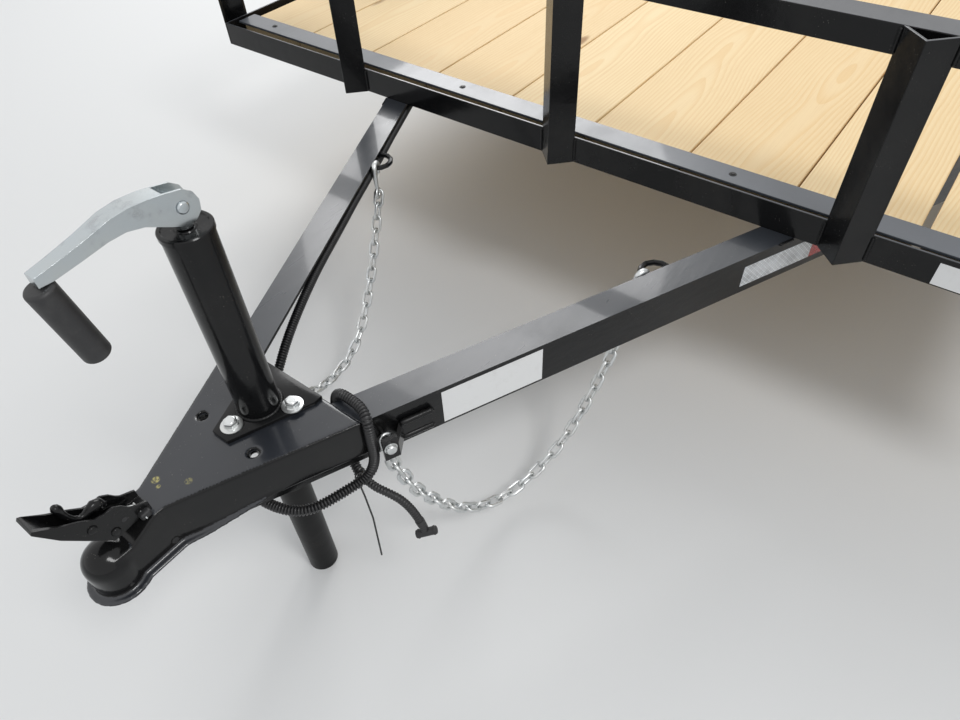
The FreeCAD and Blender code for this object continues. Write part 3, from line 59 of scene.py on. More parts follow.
COUPLER_TOP = FRAME_LOW + 0.005

ACROSS = Vector((1, 0, 0))
BACK = Vector((0, 1, 0))
UP = Vector((0, 0, 1))

# the least Z of a level face's normal, the least turn in radians at a drum's rim, and the step of a spring's wire
LEVEL_NORMAL = 0.95
RIM_TURN = 0.9
WIRE_STEP = 0.003

Colour = tuple[float, float, float]
RED_TAPE: Colour = (0.45, 0.02, 0.018)


class Side(Enum):
    """A side of the trailer, by the sign of its X."""

    LEFT = 1
    RIGHT = -1

    @property
    def label(self) -> str:
        """The side's name in the names of nodes."""
        return self.name.lower()


Value = Union[float, "Socket"]


# materials


@dataclass(frozen=True)
class Socket:
    """A node's output, whose operators add Math nodes to its tree."""

    tree: "Tree"
    out: bpy.types.NodeSocket

    def _with(self, operation: str, other: Value, flipped: bool = False) -> "Socket":
        """Join this value and another by one Math node.

        Args:
            operation: the Math node's operation.
            other: the second value.
            flipped: whether the other value comes first.

        Returns:
            The result.
        """
        first, second = (other, self) if flipped else (self, other)
        return self.tree.add("Math", {"operation": operation}, {0: first, 1: second})

    def __add__(self, other: Value) -> "Socket":
        """Sum."""
        return self._with("ADD", other)

    def __radd__(self, other: Value) -> "Socket":
        """Sum, reflected."""
        return self._with("ADD", other, True)

    def __sub__(self, other: Value) -> "Socket":
        """Difference."""
        return self._with("SUBTRACT", other)

    def __rsub__(self, other: Value) -> "Socket":
        """Difference, reflected."""
        return self._with("SUBTRACT", other, True)

    def __mul__(self, other: Value) -> "Socket":
        """Product."""
        return self._with("MULTIPLY", other)

    def __rmul__(self, other: Value) -> "Socket":
        """Product, reflected."""
        return self._with("MULTIPLY", other, True)

    def __truediv__(self, other: Value) -> "Socket":
        """Quotient."""
        return self._with("DIVIDE", other)

    def __rtruediv__(self, other: Value) -> "Socket":
        """Quotient, reflected."""
        return self._with("DIVIDE", other, True)

    def one(self, operation: str) -> "Socket":
        """A Math node that takes this value alone, such as FLOOR or SQRT."""
        return self.tree.add("Math", {"operation": operation}, {0: self})

    def ramp(self, low: float, high: float) -> "Socket":
        """A smooth step from 0 at low to 1 at high, or down from 1 where low is the larger."""
        return self.tree.add("MapRange", {"interpolation_type": "SMOOTHSTEP"},
                             {"Value": self, "From Min": low, "From Max": high})

    def sibling(self, name: str) -> "Socket":
        """Another output of the same node."""
        return Socket(self.tree, self.out.node.outputs[name])


class Tree:
    """One material's nodes, ending in a Principled shader."""

    def __init__(self, name: str, **constants: Union[float, Colour]) -> None:
        """Start a material.

        Args:
            name: the material's name.
            constants: values for the shader's own sockets, with underscores for spaces.
        """
        self.material = bpy.data.materials.new(name)
        self.material.use_nodes = True
        self.nodes = self.material.node_tree.nodes
        self.links = self.material.node_tree.links
        self.nodes.clear()
        self.shader = self.nodes.new("ShaderNodeBsdfPrincipled")
        self.output = self.nodes.new("ShaderNodeOutputMaterial")
        self.links.new(self.shader.outputs[0], self.output.inputs[0])
        for key, value in constants.items():
            socket = self.shader.inputs[key.replace("_", " ")]
            socket.default_value = (*value, 1.0) if isinstance(value, tuple) else value

    def add(self, kind: str, settings: Optional[dict] = None, sockets: Optional[dict] = None,
            output: Union[int, str] = 0) -> Socket:
        """Add a node.

        Args:
            kind: the node's type without its ShaderNode prefix.
            settings: the node's settings, or stops for a colour ramp, which are set first.
            sockets: values or links of its inputs, by name or number.
            output: the output that is wanted.

        Returns:
            That output.
        """
        node = self.nodes.new("ShaderNode" + kind)
        for key, value in (settings or {}).items():
            if key == "stops":
                elements = node.color_ramp.elements
                while len(elements) < len(value):
                    elements.new(0.5)
                for element, (at, colour) in zip(elements, value):
                    element.position = at
                    element.color = (*colour, 1.0)
            else:
                setattr(node, key, value)
        for key, value in (sockets or {}).items():
            if isinstance(value, Socket):
                self.links.new(value.out, node.inputs[key])
            elif isinstance(value, tuple) and len(value) == 3 and node.inputs[key].type == "RGBA":
                node.inputs[key].default_value = (*value, 1.0)
            else:
                node.inputs[key].default_value = value
        return Socket(self, node.outputs[output])

    def place(self, scale: Sequence[float] = (1, 1, 1), turn: float = 0.0,
              shift: Sequence[float] = (0, 0, 0)) -> Socket:
        """Object coordinates, turned about Z, scaled and shifted."""
        point = self.add("TexCoord", output="Object")
        return self.add("Mapping", None, {"Vector": point, "Scale": tuple(scale), "Rotation": (0, 0, turn),
                                          "Location": tuple(shift)})

    def split(self, vector: Socket) -> tuple[Socket, Socket, Socket]:
        """A vector's three parts."""
        x = self.add("SeparateXYZ", None, {"Vector": vector}, "X")
        return x, x.sibling("Y"), x.sibling("Z")

    def join(self, x: Value, y: Value, z: Value) -> Socket:
        """A vector from three parts."""
        return self.add("CombineXYZ", None, {"X": x, "Y": y, "Z": z})

    def noise(self, vector: Socket, scale: float, detail: float = 2.0, rough: float = 0.5) -> Socket:
        """Smooth noise from 0 to 1."""
        return self.add("TexNoise", None,
                        {"Vector": vector, "Scale": scale, "Detail": detail, "Roughness": rough})

    def cells(self, vector: Socket, scale: float) -> Socket:
        """Distance to the nearest of scattered points."""
        return self.add("TexVoronoi", None, {"Vector": vector, "Scale": scale}, "Distance")

    def mix(self, factor: Value, first: Union[Colour, Socket], second: Union[Colour, Socket]) -> Socket:
        """One colour turning into another."""
        return self.add("Mix", {"data_type": "RGBA"}, {0: factor, 6: first, 7: second}, 2)

    def feed(self, name: str, value: Socket) -> None:
        """Link a value to one of the shader's sockets."""
        self.links.new(value.out, self.shader.inputs[name])

    def bump(self, height: Socket, distance: float, strength: float = 1.0) -> None:
        """Give the shader a bump of a height map's full depth in metres."""
        self.feed("Normal", self.add("Bump", None,
                                     {"Height": height, "Distance": distance, "Strength": strength}))


class Finish:
    """A finish that builds its material once."""

    made: dict["Finish", bpy.types.Material] = {}

    def material(self) -> bpy.types.Material:
        """The finish's material."""
        if self not in Finish.made:
            Finish.made[self] = self.build()
        return Finish.made[self]

    def build(self) -> bpy.types.Material:
        """Make the nodes."""
        raise NotImplementedError


@dataclass(frozen=True)
class Chalk:
    """A rubbed chalk mark, by its middle, its radius and how dense it is."""

    across: float
    along: float
    radius: float
    dense: float


@dataclass(frozen=True)
class Enamel(Finish):
    """Gloss black enamel over mill steel, with faint orange peel, handling haze and dust."""

    name: str = "black_enamel"
    colour: Colour = (0.0055, 0.0056, 0.0060)
    haze: Colour = (0.11, 0.105, 0.095)
    grit: Colour = (0.34, 0.32, 0.28)
    chalk_colour: Colour = (0.50, 0.44, 0.14)
    roughness: float = 0.14
    dust: float = 0.5
    turn: float = 0.0
    waves: float = 1.0
    gloss: float = 1.31
    coat: float = 0.08
    chalk: tuple[Chalk, ...] = ()

    def build(self) -> bpy.types.Material:
        """Make the nodes.

        Returns:
            The material.
        """
        tree = Tree(self.name, IOR=self.gloss, Coat_Roughness=0.06)
        point = tree.place(turn=self.turn)
        cloud = tree.noise(point, 7.0, 5.0, 0.62)
        drawn = tree.noise(tree.place((60, 5, 60), self.turn), 1.0, 4.0, 0.6)
        speck = tree.cells(point, 210.0).ramp(0.16, 0.06) * tree.noise(point, 38.0, 3.0).ramp(0.52, 0.66)
        film = cloud.ramp(0.42, 0.78) * self.dust
        colour = tree.mix(film * 0.16, self.colour, self.haze)
        for mark in self.chalk:
            colour = tree.mix(self.rubbed(tree, mark), colour, self.chalk_colour)
        tree.feed("Base Color", tree.mix(speck * self.dust * 0.55, colour, self.grit))
        tree.feed("Roughness", film * 0.16 + drawn * 0.09 + speck * 0.4 + self.roughness)
        tree.feed("Coat Weight", self.coat - film * self.coat * 0.5)
        peel = tree.noise(point, 330.0, 2.0)
        roll = tree.noise(tree.place((46, 9, 46), self.turn), 1.0, 3.0)
        tree.bump(peel * 0.12 + roll * self.waves, 0.0011, 0.35)
        return tree.material

    def rubbed(self, tree: Tree, mark: Chalk) -> Socket:
        """How much of a chalk mark is left at each place.

        Args:
            tree: the material's nodes.
            mark: the mark.

        Returns:
            Its density, from 0 to 1.
        """
        x, y, _ = tree.split(tree.place())
        x, y = x - mark.across, y - mark.along
        left = tree.noise(tree.place(), 420.0, 3.0).ramp(0.34, 0.62) * mark.dense
        return (x * x + y * y).one("SQRT").ramp(mark.radius, mark.radius * 0.55) * left


@dataclass(frozen=True)
class Zinc(Finish):
    """Bright zinc plate with soft streaks and a trace of yellow and blue."""

    name: str = "zinc_plate"
    colour: Colour = (0.64, 0.66, 0.67)
    blue: Colour = (0.60, 0.65, 0.70)
    yellow: Colour = (0.72, 0.69, 0.60)
    streak: Colour = (0.30, 0.31, 0.32)
    roughness: float = 0.27
    stain: float = 0.35

    def build(self) -> bpy.types.Material:
        """Make the nodes.

        Returns:
            The material.
        """
        tree = Tree(self.name, IOR=1.8)
        point = tree.place()
        cloud = tree.noise(point, 55.0, 4.0, 0.6)
        grain = tree.noise(point, 900.0, 2.0)
        tint = tree.mix(tree.noise(point, 24.0, 2.0), self.blue, self.yellow)
        tint = tree.mix(0.6, tint, self.colour)
        tree.feed("Base Color", tree.mix(cloud.ramp(0.55, 0.8) * self.stain, tint, self.streak))
        tree.feed("Metallic", 0.96 - cloud.ramp(0.6, 0.85) * 0.3)
        tree.feed("Roughness", cloud * 0.18 + grain * 0.08 + self.roughness - 0.1)
        tree.bump(grain * 0.15 + cloud, 0.0003, 0.2)
        return tree.material


@dataclass(frozen=True)
class Pine(Finish):
    """Planed southern pine, sawn flat, each board with its own rings, fibres and knots."""

    name: str = "pine_boards"
    start: float = -0.95310
    pitch: float = 0.19580
    top: float = 0.4629
    rings_per_metre: float = 150.0
    early: Colour = (0.88, 0.71, 0.44)
    darker: Colour = (0.80, 0.60, 0.345)
    late: Colour = (0.74, 0.49, 0.22)
    fibre: Colour = (0.66, 0.44, 0.22)
    knot: Colour = (0.30, 0.155, 0.06)

    def build(self) -> bpy.types.Material:
        """Make the nodes.

        Returns:
            The material.
        """
        tree = Tree(self.name, IOR=1.45, Specular_IOR_Level=0.3)
        x, y, z = tree.split(tree.place())
        across = (x - self.start) / self.pitch
        board = across.one("FLOOR")
        seed = board * 7.37
        inside = (across.one("FRACT") - 0.5) * self.pitch
        own = tree.add("TexWhiteNoise", {"noise_dimensions": "1D"}, {"W": board})
        knot_at = tree.join(inside * 4.2 + seed, y * 1.15 + seed, seed)
        knot = tree.cells(knot_at, 1.0)
        swirl = knot.ramp(0.30, 0.0)
        wander = tree.noise(tree.join(seed, y * 0.9, seed), 1.0, 2.0) - 0.5
        pith = wander * 0.15 + (own - 0.5) * 0.07
        sway = tree.noise(tree.join(seed + 31.0, y * 1.1, seed), 1.0, 3.0) * 0.075
        depth = sway + (self.top - z) + 0.012
        off = inside - pith
        radius = (off * off + depth * depth).one("SQRT")
        ripple = tree.noise(tree.join(x * 26.0 + seed, y * 1.3, z * 26.0), 1.0, 3.0) * 0.0030
        rings = ((radius + ripple + swirl * 0.012) * self.rings_per_metre).one("FRACT")
        late = rings.ramp(0.25, 0.93) * (1.0 - rings.ramp(0.94, 1.0))
        fibre = tree.noise(tree.join(x * 520.0 + seed, y * 9.0, z * 520.0), 1.0, 3.0, 0.65)
        mottle = tree.noise(tree.join(x * 7.0 + seed, y * 1.6, z * 7.0), 1.0, 3.0)
        base = tree.mix(own * 0.55 + mottle * 0.45, self.early, self.darker)
        grain = tree.mix(late * (0.30 + mottle * 0.35), base, self.late)
        grain = tree.mix(fibre.ramp(0.45, 0.75) * 0.28, grain, self.fibre)
        core = knot.ramp(0.062, 0.030)
        tree.feed("Base Color", tree.mix(core * 0.85, grain, self.knot))
        tree.feed("Roughness", 0.62 - late * 0.1 + fibre * 0.12)
        tree.bump(late * -0.5 + fibre * 0.5 - core, 0.0006, 0.6)
        return tree.material


@dataclass(frozen=True)
class Moulded(Finish):
    """Black rubber or plastic with a fine pebbled skin and pale scuffs."""

    name: str = "black_rubber"
    colour: Colour = (0.017, 0.017, 0.018)
    scuffed: Colour = (0.075, 0.073, 0.07)
    roughness: float = 0.5
    scuff: float = 0.4
    pebble: float = 700.0

    def build(self) -> bpy.types.Material:
        """Make the nodes.

        Returns:
            The material.
        """
        tree = Tree(self.name, IOR=1.5)
        point = tree.place()
        cloud = tree.noise(point, 26.0, 5.0, 0.65)
        skin = tree.noise(point, self.pebble, 2.0)
        worn = cloud.ramp(0.5, 0.8) * self.scuff
        tree.feed("Base Color", tree.mix(worn, self.colour, self.scuffed))
        tree.feed("Roughness", worn * 0.25 + skin * 0.1 + self.roughness)
        tree.bump(skin, 0.00025, 0.5)
        return tree.material


@dataclass(frozen=True)
class Silver(Finish):
    """Silver wheel paint with fine flake and a little brake dust."""

    name: str = "wheel_silver"
    dull: Colour = (0.50, 0.51, 0.52)
    bright: Colour = (0.70, 0.71, 0.72)
    brake_dust: Colour = (0.23, 0.20, 0.165)

    def build(self) -> bpy.types.Material:
        """Make the nodes.

        Returns:
            The material.
        """
        tree = Tree(self.name, IOR=1.5, Coat_Roughness=0.08)
        point = tree.place()
        flake = tree.noise(point, 1800.0, 1.0)
        dust = tree.noise(point, 14.0, 5.0, 0.65).ramp(0.45, 0.75)
        paint = tree.mix(flake.ramp(0.4, 0.7), self.dull, self.bright)
        tree.feed("Base Color", tree.mix(dust * 0.35, paint, self.brake_dust))
        tree.feed("Metallic", 0.75 - dust * 0.5)
        tree.feed("Roughness", 0.3 + dust * 0.3)
        tree.feed("Coat Weight", 0.5 - dust * 0.3)
        tree.bump(flake, 0.0001, 0.2)
        return tree.material


@dataclass(frozen=True)
class Lens(Finish):
    """Coloured lamp plastic with fine moulded prisms behind a smooth face."""

    name: str = "red_lens"
    colour: Colour = (0.50, 0.012, 0.010)
    prisms: float = 1300.0

    def build(self) -> bpy.types.Material:
        """Make the nodes.

        Returns:
            The material.
        """
        tree = Tree(self.name, IOR=1.49, Coat_Roughness=0.03)
        x, _, z = tree.split(tree.place())
        prisms = (x * self.prisms).one("SINE") * (z * self.prisms).one("SINE")
        shade = tuple(c * 0.45 for c in self.colour)
        tree.feed("Base Color", tree.mix(prisms.ramp(-0.9, 0.9), shade, self.colour))
        tree.feed("Roughness", prisms * 0.08 + 0.2)
        tree.feed("Coat Weight", tree.noise(tree.place(), 20.0) * 0.2 + 0.8)
        tree.bump(prisms, 0.0004, 0.5)
        return tree.material


@dataclass(frozen=True)
class Tape(Finish):
    """Retroreflective tape: pale cells sealed by a fine lattice."""

    name: str = "silver_tape"
    colour: Colour = (0.62, 0.64, 0.66)
    turn: float = 0.0
    lattice: float = 340.0

    def build(self) -> bpy.types.Material:
        """Make the nodes.

        Returns:
            The material.
        """
        tree = Tree(self.name, IOR=1.5, Coat_Roughness=0.05)
        x, y, z = tree.split(tree.place(turn=self.turn))
        rising, falling = (slant.one("SINE").one("ABSOLUTE") for slant in
                           ((y + z) * self.lattice, (y - z) * self.lattice))
        seams = (rising * falling).ramp(0.12, 0.02)
        patch = tree.cells(tree.join(x * 60.0, y * 60.0, z * 60.0), 1.0)
        shade = tuple(c * 0.72 for c in self.colour)
        sealed = tuple(min(1.0, c * 1.25) for c in self.colour)
        lit = tree.mix(patch.ramp(0.2, 0.8), shade, self.colour)
        tree.feed("Base Color", tree.mix(seams * 0.5, lit, sealed))
        tree.feed("Roughness", 0.24 + seams * 0.3)
        tree.feed("Metallic", 0.35 - seams * 0.3)
        tree.feed("Coat Weight", 0.7 - seams * 0.2)
        tree.bump(seams, 0.0002, 0.4)
        return tree.material


@dataclass(frozen=True)
class Sticker(Finish):
    """Blank vinyl, a little dusty."""

    name: str = "blank_vinyl"
    colour: Colour = (0.80, 0.80, 0.79)
    dusty: Colour = (0.52, 0.50, 0.46)

    def build(self) -> bpy.types.Material:
        """Make the nodes.

        Returns:
            The material.
        """
        tree = Tree(self.name, IOR=1.46)
        point = tree.place()
        dust = tree.noise(point, 40.0, 5.0, 0.65).ramp(0.5, 0.8)
        tree.feed("Base Color", tree.mix(dust * 0.3, self.colour, self.dusty))
        tree.feed("Roughness", dust * 0.25 + 0.28)
        tree.bump(tree.noise(point, 90.0, 2.0), 0.0004, 0.3)
        return tree.material


BEAM_ANGLE = math.radians(24.83)
STEEL = Enamel()
# upward faces of the black steel: a lighter, bluer colour that is a painted sky reflection, with more dust on top
SHEEN_AND_DUST_STEEL = Enamel("sheen_and_dust_enamel", colour=(0.034, 0.038, 0.045), roughness=0.24, dust=0.8, gloss=1.5,
                     coat=0.4)
BEAM_STEEL = {side: Enamel("beam_enamel_" + side.label, turn=side.value * BEAM_ANGLE, roughness=0.17,
                           waves=1.8) for side in Side}
COUPLER_STEEL = Enamel("coupler_enamel", dust=0.4, roughness=0.10, waves=0.5, coat=0.12)
CHALK_MARKS = (Chalk(-0.0165, RAIL_FACE - 0.9085, 0.0062, 0.9),
               Chalk(-0.0055, RAIL_FACE - 0.9123, 0.0036, 0.6),
               Chalk(0.0187, RAIL_FACE - 0.8854, 0.006, 0.35))
# upward faces of the coupler: a lighter, bluer colour that is a painted sky reflection, with dust and the real
# chalk marks
COUPLER_SHEEN_AND_DUST = Enamel("coupler_sheen_and_dust_enamel", colour=(0.020, 0.0225, 0.028), roughness=0.17, waves=0.5,
                       gloss=1.5, coat=0.4, chalk=CHALK_MARKS)
# the hold-down strips: black steel given a light blue-grey colour that is a painted sky reflection, with dust
STRIP_SHEEN_STEEL = Enamel("strip_sheen_enamel", colour=(0.085, 0.094, 0.108), dust=0.8, roughness=0.3, gloss=1.5,
                     coat=0.4)
SPRING_STEEL = Enamel("spring_enamel", colour=(0.02, 0.02, 0.021), roughness=0.36, dust=0.8)
RAM_STEEL = Enamel("ram_enamel", roughness=0.30, gloss=1.22, coat=0.03)
WELD_STEEL = Enamel("weld_enamel", roughness=0.24, dust=0.3, waves=0.2)
LATCH_STEEL = Enamel("latch_enamel", roughness=0.20, waves=0.3, coat=0.10)
PLATE = Zinc()
CHAIN_PLATE = Zinc("chain_zinc", roughness=0.33, stain=0.8)
BRIGHT_PLATE = Zinc("bright_zinc", colour=(0.40, 0.45, 0.48), roughness=0.20, stain=0.5)
RUBBER = Moulded()
VINYL = Moulded("grip_vinyl", colour=(0.022, 0.022, 0.023), roughness=0.42, pebble=420.0)
LOOM_PLASTIC = Moulded("loom_plastic", colour=(0.011, 0.011, 0.012), roughness=0.33, scuff=0.3)
TYRE_RUBBER = Moulded("tyre_rubber", colour=(0.021, 0.021, 0.021), roughness=0.66, scuff=0.7, pebble=500.0)


# shapes


@dataclass(frozen=True)
class Beam:
    """A tongue beam's own directions, from where its outer face meets the front rail."""

    side: Side
    spread: float = 0.449

    def along(self) -> Vector:
        """Forward along the beam."""
        return Vector((-self.side.value * math.sin(BEAM_ANGLE), -math.cos(BEAM_ANGLE), 0))

    def outward(self) -> Vector:
        """Out of the beam's outer face."""
        return Vector((self.side.value * math.cos(BEAM_ANGLE), -math.sin(BEAM_ANGLE), 0))

    def at(self, forward: float, inward: float, rise: float) -> Vector:
        """A point forward along the beam, inwards from its outer face and up from its top."""
        start = Vector((self.side.value * self.spread, RAIL_FACE, FRAME_LOW + rise))
        return start + self.along() * forward - self.outward() * inward


BEAMS = {side: Beam(side) for side in Side}


def copy_node(node: str, merge: float = 1e-5, flat: float = 1.0) -> bmesh.types.BMesh:
    """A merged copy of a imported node's mesh.

    Args:
        node: the node's name.
        merge: the distance within which corners are joined.
        flat: faces that meet at less than this many degrees become one.

    Returns:
        The copy.
    """
    bm = bmesh.new()
    bm.from_mesh(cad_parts[node].data)
    bmesh.ops.remove_doubles(bm, verts=bm.verts, dist=merge)
    bmesh.ops.dissolve_limit(bm, angle_limit=math.radians(flat), verts=bm.verts, edges=bm.edges)
    return bm


def put(bm: bmesh.types.BMesh, name: str, body: str, finish: Finish, replaces: Iterable[str] = (),
        ease: float = 0.0, segments: int = 2, sharp: float = 32.0,
        level: Optional[Finish] = None) -> bpy.types.Object:
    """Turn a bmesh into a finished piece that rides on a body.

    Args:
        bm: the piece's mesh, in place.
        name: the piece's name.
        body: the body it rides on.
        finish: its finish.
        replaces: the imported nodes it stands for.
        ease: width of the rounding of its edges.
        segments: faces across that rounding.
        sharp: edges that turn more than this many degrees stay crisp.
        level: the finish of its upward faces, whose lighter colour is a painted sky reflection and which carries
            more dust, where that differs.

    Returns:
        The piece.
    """
    bm.normal_update()
    for face in bm.faces:
        face.smooth = True
        # upward faces take the level finish, whose lighter colour is a painted sky reflection
        face.material_index = 1 if level and face.normal.z > LEVEL_NORMAL else 0
    for edge in bm.edges:
        edge.smooth = edge.is_manifold and edge.calc_face_angle(0.0) < math.radians(sharp)
    mesh = bpy.data.meshes.new(name)
    bm.to_mesh(mesh)
    bm.free()
    piece = bpy.data.objects.new(name, mesh)
    bpy.context.scene.collection.objects.link(piece)
    mesh.materials.append(finish.material())
    if level:
        mesh.materials.append(level.material())
    if ease:
        bevel = piece.modifiers.new("eased", "BEVEL")
        bevel.width = ease
        bevel.segments = segments
        bevel.limit_method = "ANGLE"
        bevel.angle_limit = math.radians(sharp)
        bevel.harden_normals = True
    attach(piece, body)
    if replaces:
        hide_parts(*replaces)
    LOG.info("%s: %d faces", name, len(mesh.polygons))
    return piece


def turned_to(axis: Vector, at: Vector) -> Matrix:
    """A matrix that stands +Z along an axis at a point."""
    return Matrix.Translation(at) @ axis.to_track_quat("Z", "Y").to_matrix().to_4x4()


def drum(bm: bmesh.types.BMesh, at: Vector, axis: Vector, radius: float, length: float, sides: int = 24,
         top: Optional[float] = None, chamfer: float = 0.0) -> None:
    """Add a cylinder or cone that starts at a point and runs along an axis.

    Args:
        bm: the mesh to add to.
        at: the middle of its foot.
        axis: its direction.
        radius: its radius at the foot.
        length: its length.
        sides: its number of sides.
        top: its radius at the far end, where that differs.
        chamfer: width of the rounding of its rims.
    """
    middle = at + axis.normalized() * (length / 2)
    made = bmesh.ops.create_cone(bm, cap_ends=True, segments=sides, radius1=radius,
                                 radius2=radius if top is None else top, depth=length,
                                 matrix=turned_to(axis, middle))
    if chamfer:
        edges = {e for v in made["verts"] for e in v.link_edges}
        bmesh.ops.bevel(bm, geom=[e for e in edges if e.calc_face_angle(0.0) > RIM_TURN], offset=chamfer,
                        offset_type="OFFSET", affect="EDGES", segments=2, profile=0.5, material=-1,
                        clamp_overlap=True)


class Step(NamedTuple):
    """One step of a round part, from its start along the part's axis."""

    start: float
    radius: float
    length: float
    sides: int = 24
    top: Optional[float] = None
    chamfer: float = 0.0


def turned(bm: bmesh.types.BMesh, at: Vector, axis: Vector, *steps: Step) -> None:
    """Add the steps of a round part, which start along an axis from a point."""
    for start, *sizes in steps:
        drum(bm, at + axis * start, axis, *sizes)


def circle(middle: Vector, radius: float, count: int, first: Vector, second: Vector) -> list[Vector]:
    """Points at equal steps round a circle.

    Args:
        middle: its middle.
        radius: its radius.
        count: the number of points.
        first: the direction of the first point from the middle.
        second: the direction a quarter turn on.

    Returns:
        The points.
    """
    turns = [2 * math.pi * i / count for i in range(count)]
    return [Vector([m + radius * (math.cos(a) * p + math.sin(a) * q)
                    for m, p, q in zip(middle, first, second)]) for a in turns]


def share(value: float, start: float, end: float) -> float:
    """How far a value is on the way from a start to an end, from 0 to 1."""
    return min(1.0, max(0.0, (value - start) / (end - start)))


def slab(bm: bmesh.types.BMesh, low: Vector, high: Vector, turn: Optional[Matrix] = None) -> list:
    """Add a box.

    Args:
        bm: the mesh to add to.
        low: its lowest corner.
        high: its highest corner.
        turn: what moves it into place, if anything does.

    Returns:
        The box's corners.
    """
    size, middle = high - low, (low + high) / 2
    matrix = Matrix.Translation(middle) @ Matrix.Diagonal((*size, 1.0))
    return bmesh.ops.create_cube(bm, size=1.0, matrix=(turn or Matrix()) @ matrix)["verts"]


def on_side_rail(bm: bmesh.types.BMesh, side: Side, reach: Sequence[float], rise: Sequence[float],
                 proud: Sequence[float]) -> None:
    """Add a box on the outer face of a side rail.

    Args:
        bm: the mesh to add to.
        side: which rail.
        reach: the box's front and rear.
        rise: its bottom and top, up from the rail's own bottom.
        proud: its back and front, out from the rail's face.
    """
    low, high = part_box("side_rail_" + side.label)
    face = high.x if side is Side.LEFT else low.x
    near, far = sorted(face + side.value * out for out in proud)
    slab(bm, Vector((near, reach[0], FRAME_LOW + rise[0])), Vector((far, reach[1], FRAME_LOW + rise[1])))


def tube_mesh(points: Sequence[Vector], radius: float, radii: Optional[Sequence[float]] = None,
              corners: int = 2, cyclic: bool = False) -> bpy.types.Mesh:
    """A round bar along a line of points.

    Args:
        points: the line.
        radius: the bar's radius.
        radii: shares of that radius at each point.
        corners: how finely the section is rounded.
        cyclic: whether the bar closes on itself.

    Returns:
        Its mesh.
    """
    curve = bpy.data.curves.new("bar", "CURVE")
    curve.dimensions = "3D"
    curve.bevel_depth = radius
    curve.bevel_resolution = corners
    curve.use_fill_caps = not cyclic
    spline = curve.splines.new("POLY")
    spline.points.add(len(points) - 1)
    for i, point in enumerate(points):
        spline.points[i].co = (*point, 1.0)
        spline.points[i].radius = radii[i] if radii else 1.0
    spline.use_cyclic_u = cyclic
    holder = bpy.data.objects.new("bar", curve)
    mesh = bpy.data.meshes.new_from_object(holder)
    bpy.data.objects.remove(holder)
    bpy.data.curves.remove(curve)
    return mesh


def add_tube(bm: bmesh.types.BMesh, points: Sequence[Vector], radius: float,
             radii: Optional[Sequence[float]] = None, corners: int = 2, cyclic: bool = False) -> None:
    """Add a round bar along a line of points to a mesh.

    Args:
        bm: the mesh to add to.
        points: the line.
        radius: the bar's radius.
        radii: shares of that radius at each point.
        corners: how finely the section is rounded.
        cyclic: whether the bar closes on itself.
    """
    mesh = tube_mesh(points, radius, radii, corners, cyclic)
    bm.from_mesh(mesh)
    bpy.data.meshes.remove(mesh)
    bmesh.ops.remove_doubles(bm, verts=bm.verts, dist=1e-7)


def spaced(points: Sequence[Vector], step: float) -> list[Vector]:
    """Points at equal steps along a line.

    Args:
        points: the line.
        step: about how far apart they are.

    Returns:
        The points, with both ends.
    """
    lengths = [0.0]
    for a, b in zip(points, points[1:]):
        lengths.append(lengths[-1] + (b - a).length)
    count = max(2, round(lengths[-1] / step) + 1)
    found, i = [], 0
    for k in range(count):
        wanted = lengths[-1] * k / (count - 1)
        while i < len(points) - 2 and lengths[i + 1] < wanted:
            i += 1
        span = max(lengths[i + 1] - lengths[i], 1e-12)
        found.append(points[i].lerp(points[i + 1], min(1.0, (wanted - lengths[i]) / span)))
    return found


def weld(bm: bmesh.types.BMesh, start: Vector, end: Vector, radius: float, pitch: float = 0.0042) -> None:
    """Add a weld bead with the ripples of its pools along a straight seam.

    Args:
        bm: the mesh to add to.
        start: one end of the seam.
        end: its other end.
        radius: the bead's radius.
        pitch: the length of a pool.
    """
    points = spaced([start, end], pitch / 3)
    radii = [0.82 + 0.2 * abs(math.sin(math.pi * i / 3 + 0.4)) + 0.05 * math.sin(i * 1.7)
             for i in range(len(points))]
    radii[0] = radii[-1] = 0.45
    add_tube(bm, points, radius, radii, corners=1)


# sub-assemblies


